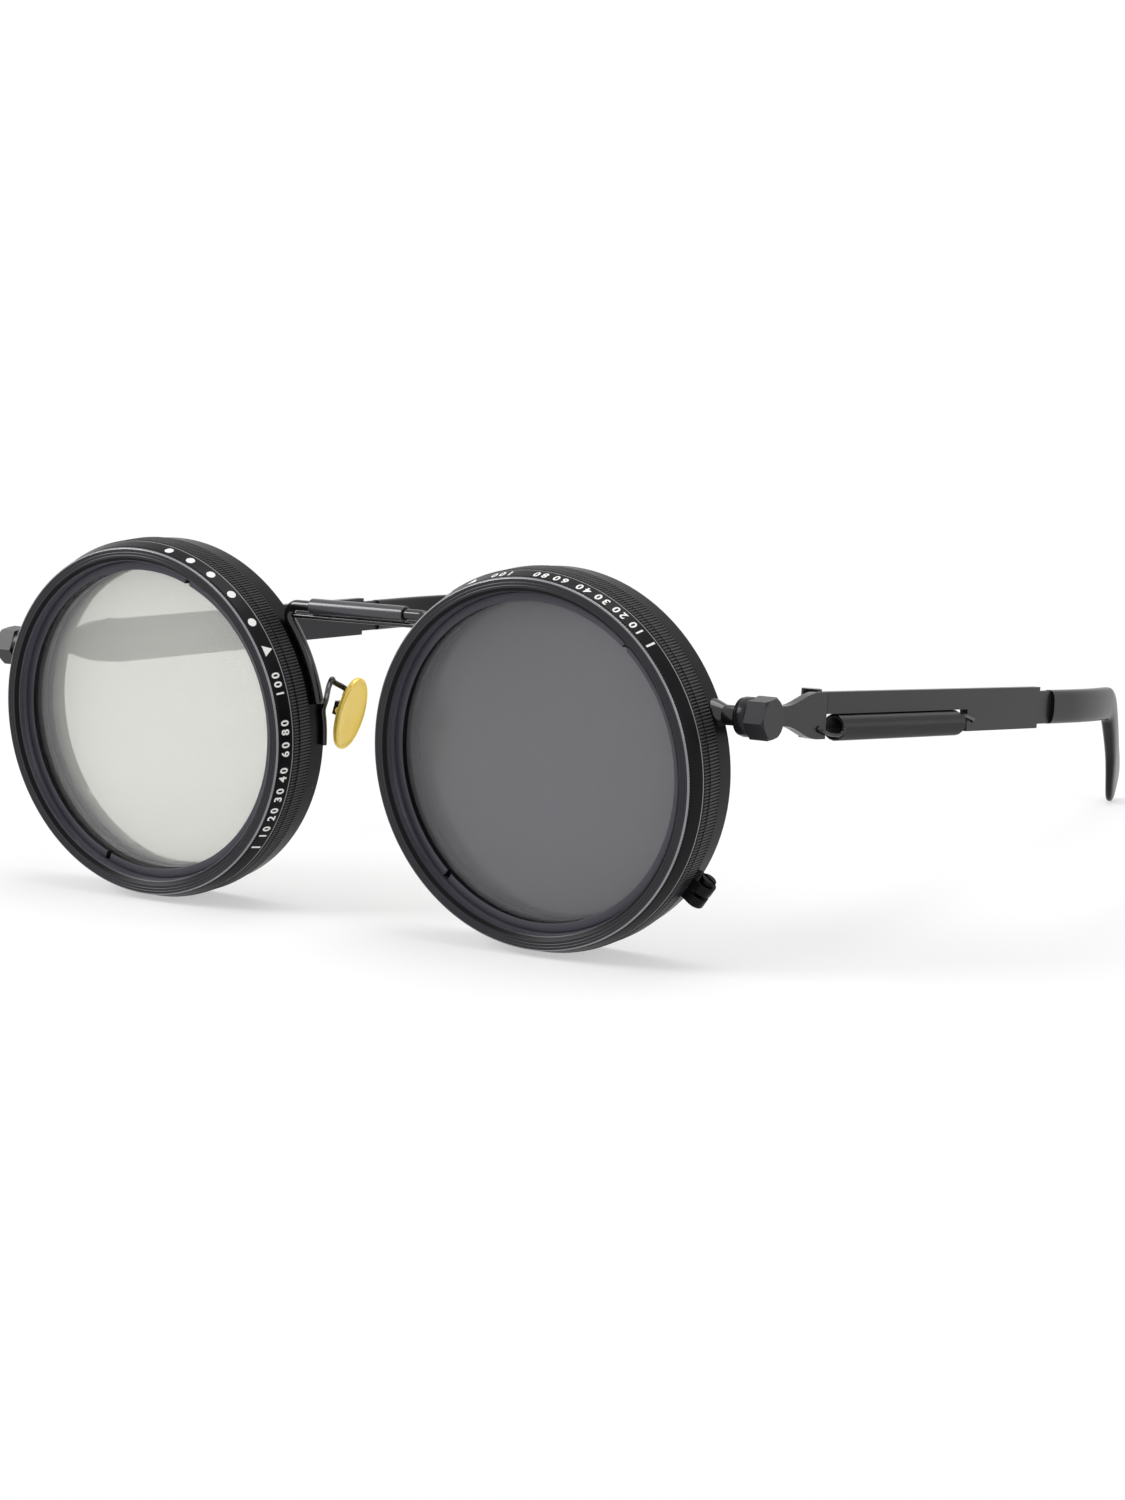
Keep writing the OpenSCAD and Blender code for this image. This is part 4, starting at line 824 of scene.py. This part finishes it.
# Half of the run is an arc about the lens axis and a tight arc into the level, and the other half
# mirrors it
def bridgeBar():
    b = bridge
    down = np.radians(np.linspace(b["legEnd"], b["bendAngle"], b["legSteps"]))
    over = np.radians(np.linspace(180 + b["bendAngle"], 90, b["bendSteps"]))[1:]
    legs = np.stack([-lensX + b["legR"] * np.cos(down), b["legR"] * np.sin(down)], axis=1)
    corner = np.stack([-b["bendX"] + b["bendR"] * np.cos(over),
                       b["bendZ"] + b["bendR"] * np.sin(over)], axis=1)
    half = np.vstack([legs, corner])
    flat = np.vstack([half, half[::-1] * [-1, 1]])
    run = np.stack([flat[:, 0], np.full(len(flat), b["depth"]), flat[:, 1]], axis=1)
    piece = cappedTube("bridge_bar_bent", run, b["bar"], b["barSides"], (0, 1, 0),
                       lambda p: sized(p, 1))
    give(piece, wireGloss)
    finish(piece, "front", "bridge_bar")


bridgeBar()

# Pad arms: a wire from its foot on the eyewire, round a loop and down to the pad box

armWire = dict(radius=0.42, sides=16, steps=8, through=(
    (7.984, 10.05, -2.582), (7.876, 10.05, -0.94), (7.876, 10.05, 0.94), (7.984, 10.05, 2.582),
    (8.117, 11.0, 4.028), (9.178, 12.988, 5.239), (9.4575, 13.77, 5.85), (9.4575, 14.37, 6.45),
    (9.4575, 14.97, 5.85), (8.637, 16.516, 4.693), (8.917, 16.555, 3.571), (9.118, 16.438, 2.764)))
for sideName, side in sides.items():
    wire = cappedTube(sideName + "_pad_arm_wire", smoothRun(armWire["through"], armWire["steps"]),
                      armWire["radius"], armWire["sides"], (1, 0, 0), lambda p: sized(p, side))
    give(wire, wireGloss)
    finish(wire, "front", sideName + "_pad_arm")
print("bridge and pad arms bent")


# The end of the bar's core, drawn back along the arm so that it stays inside the curling tip:
# points past a distance from the bolt move back by the same step
core = dict(beyond=105.0, back=4.0)


def shorten(piece, drop):
    heading = np.array([0, math.cos(math.radians(drop)), -math.sin(math.radians(drop))])
    points = readPoints(piece)
    reach = (points * 1000 - [0, boltY, boltZ]) @ heading
    points[reach > core["beyond"]] -= heading * core["back"] / 1000
    writePoints(piece, points)


# CAD pieces that keep their shape: copies with rounded edges, by the width of the bevel in
# millimetres, and plain nodes with a finish of their own

edges = {"eyewire": 0.25, "stub": 0.15, "hinge_plate": 0.16, "temple_bar": 0.08, "hex_bolt": 0.14,
         "washer": 0.1, "rim_screw": 0.08, "hinge_screw": 0.06, "pad_box": 0.06}
sleeveEdge = 0.12
bodyOf = {"hinge_plate": "_hinge", "hinge_screw": "_hinge", "temple_bar": "_temple"}
finishes = {"hinge_screw": brightSteel, "temple_bar": blade, "hex_bolt": boltSteel,
            "stub": wireGloss, "hinge_plate": lacquerPlate}
plain = {"pad_screw": gilt, "slide_ring": brightSteel}
glasses = {"left_front": leftFront, "left_rear": leftRear, "right_front": rightFront,
           "right_rear": rightRear}
for sideName in sides:
    for part, width in edges.items():
        body = sideName + bodyOf[part] if part in bodyOf else "front"
        piece = softened(sideName + "_" + part, width, body)
        give(piece, finishes.get(part, lacquer))
        if part == "temple_bar":
            shorten(piece, drops[sideName])
    for part, material in plain.items():
        give(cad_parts[sideName + "_" + part], material)
give(softened("bridge_sleeve", sleeveEdge, "front"), sleeveSteel)
give(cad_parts["bridge_wire"], wireGloss)
for node, glass in glasses.items():
    give(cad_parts[node + "_glass"], glass)
print("edges rounded")


# Studio: a white table, a large soft light above and two panels beside

studio = dict(table=12, under=0.0002, nearWhite=0.5, fadeFrom=0.08, fadeTo=0.26, paper=0.9,
              fill=0.45)  # metres, but for shares of white and the strength of the sky


# One for rays from the camera, a reflection or through glass, and nought for the rest
def whiteRays(tree):
    ray = addNode(tree, "ShaderNodeLightPath")
    first = addNode(tree, "ShaderNodeMath", {"operation": "MAXIMUM"}, None,
                    {0: ray.outputs["Is Camera Ray"], 1: ray.outputs["Is Glossy Ray"]})
    return addNode(tree, "ShaderNodeMath", {"operation": "MAXIMUM"}, None,
                   {0: first.outputs["Value"], 1: ray.outputs["Is Transmission Ray"]})


# Matt white board, half lit near the object so that it keeps its shadow, and pure white where it
# runs on to the horizon
def studioWhite():
    material, tree = newMaterial("whiteBoard")
    place = addNode(tree, "ShaderNodeTexCoord")
    away = addNode(tree, "ShaderNodeVectorMath", {"operation": "LENGTH"}, None,
                   {0: place.outputs["Object"]})
    fade = addNode(tree, "ShaderNodeMapRange", None,
                   {"From Min": studio["fadeFrom"], "From Max": studio["fadeTo"],
                    "To Min": studio["nearWhite"]},
                   {"Value": away.outputs["Value"]})
    seen = whiteRays(tree)
    level = addNode(tree, "ShaderNodeMath", {"operation": "MULTIPLY"}, None,
                    {0: fade.outputs["Result"], 1: seen.outputs["Value"]})
    matt = addNode(tree, "ShaderNodeBsdfDiffuse", inputs={"Color": [studio["paper"]] * 3 + [1]})
    pure = addNode(tree, "ShaderNodeEmission", inputs={"Color": (1, 1, 1, 1), "Strength": 1.0})
    board = addNode(tree, "ShaderNodeMixShader", None, None,
                    {0: level.outputs["Value"], 1: matt.outputs["BSDF"],
                     2: pure.outputs["Emission"]})
    addNode(tree, "ShaderNodeOutputMaterial", links={"Surface": board.outputs["Shader"]})
    return material


bpy.ops.mesh.primitive_plane_add(size=studio["table"], location=(0, 0, -studio["under"]))
table = bpy.context.object
table.name = "table_top"
give(table, studioWhite())

world = bpy.data.worlds.new("studio")
bpy.context.scene.world = world
world.use_nodes = True
world.node_tree.nodes.clear()
sky = world.node_tree
seen = whiteRays(sky)
level = addNode(sky, "ShaderNodeMapRange", None, {"To Min": studio["fill"], "To Max": 1.0},
                {"Value": seen.outputs["Value"]})
white = addNode(sky, "ShaderNodeBackground", None, {"Color": (1, 1, 1, 1)},
                {"Strength": level.outputs["Result"]})
addNode(sky, "ShaderNodeOutputWorld", links={"Surface": white.outputs["Background"]})


# A lamp or camera put at a place, looking against its back direction
def stand(thing, across, above, back, place):
    bpy.context.scene.collection.objects.link(thing)
    rows = zip(np.stack([across, above, back], axis=1), place)
    thing.matrix_world = Matrix([[*row, p] for row, p in rows] + [[0, 0, 0, 1]])


lights = {  # metres and watts
    "overhead": dict(place=(0.1, 0.1, 0.9), size=0.6, power=4.0, aim=(0, 0, 0)),
    "keyLeft": dict(place=(-0.75, -0.55, 0.65), size=0.45, power=7.0, aim=(0, -0.05, 0.02)),
    "right": dict(place=(0.95, -0.2, 0.4), size=0.4, power=1.8, aim=(0, 0, 0.02)),
}
for name, lamp in lights.items():
    data = bpy.data.lights.new(name, "AREA")
    data.size = lamp["size"]
    data.energy = lamp["power"]
    back = np.array(lamp["place"], float) - np.array(lamp["aim"], float)
    back /= np.linalg.norm(back)
    across = np.cross((0, 0, 1), back)
    across /= np.linalg.norm(across)
    stand(bpy.data.objects.new(name, data), across, np.cross(back, across), back, lamp["place"])

# The photograph's camera: bearing, height, roll, distance, aim and focal length were solved from
# the rings; angles in degrees, distances in millimetres, focal length in pixels of 1500 down

camera = dict(azimuth=33.64, elevation=10.59, roll=-0.83, distance=475.992,
              aim=(39.783, 1.5, 2.412), focal=3470.235, pixels=1500, sensor=36, farthest=50)
a, e, r = (math.radians(camera[k]) for k in ("azimuth", "elevation", "roll"))
forward = np.array([-math.sin(a) * math.cos(e), math.cos(a) * math.cos(e), -math.sin(e)])
right = np.array([math.cos(a), math.sin(a), 0])
up = np.cross(right, forward)
across = math.cos(r) * right + math.sin(r) * up
above = -math.sin(r) * right + math.cos(r) * up
eye = (np.array(camera["aim"]) - forward * camera["distance"] + [0, frontY, lensZ]) / 1000
lens = bpy.data.cameras.new("camera")
lens.sensor_fit = "VERTICAL"
lens.sensor_height = camera["sensor"]
lens.lens = camera["focal"] * camera["sensor"] / camera["pixels"]
lens.clip_end = camera["farthest"]
shot = bpy.data.objects.new("camera", lens)
stand(shot, across, above, -forward, eye)
bpy.context.scene.camera = shot
bpy.context.scene.view_settings.view_transform = "Standard"

print("scene ready")
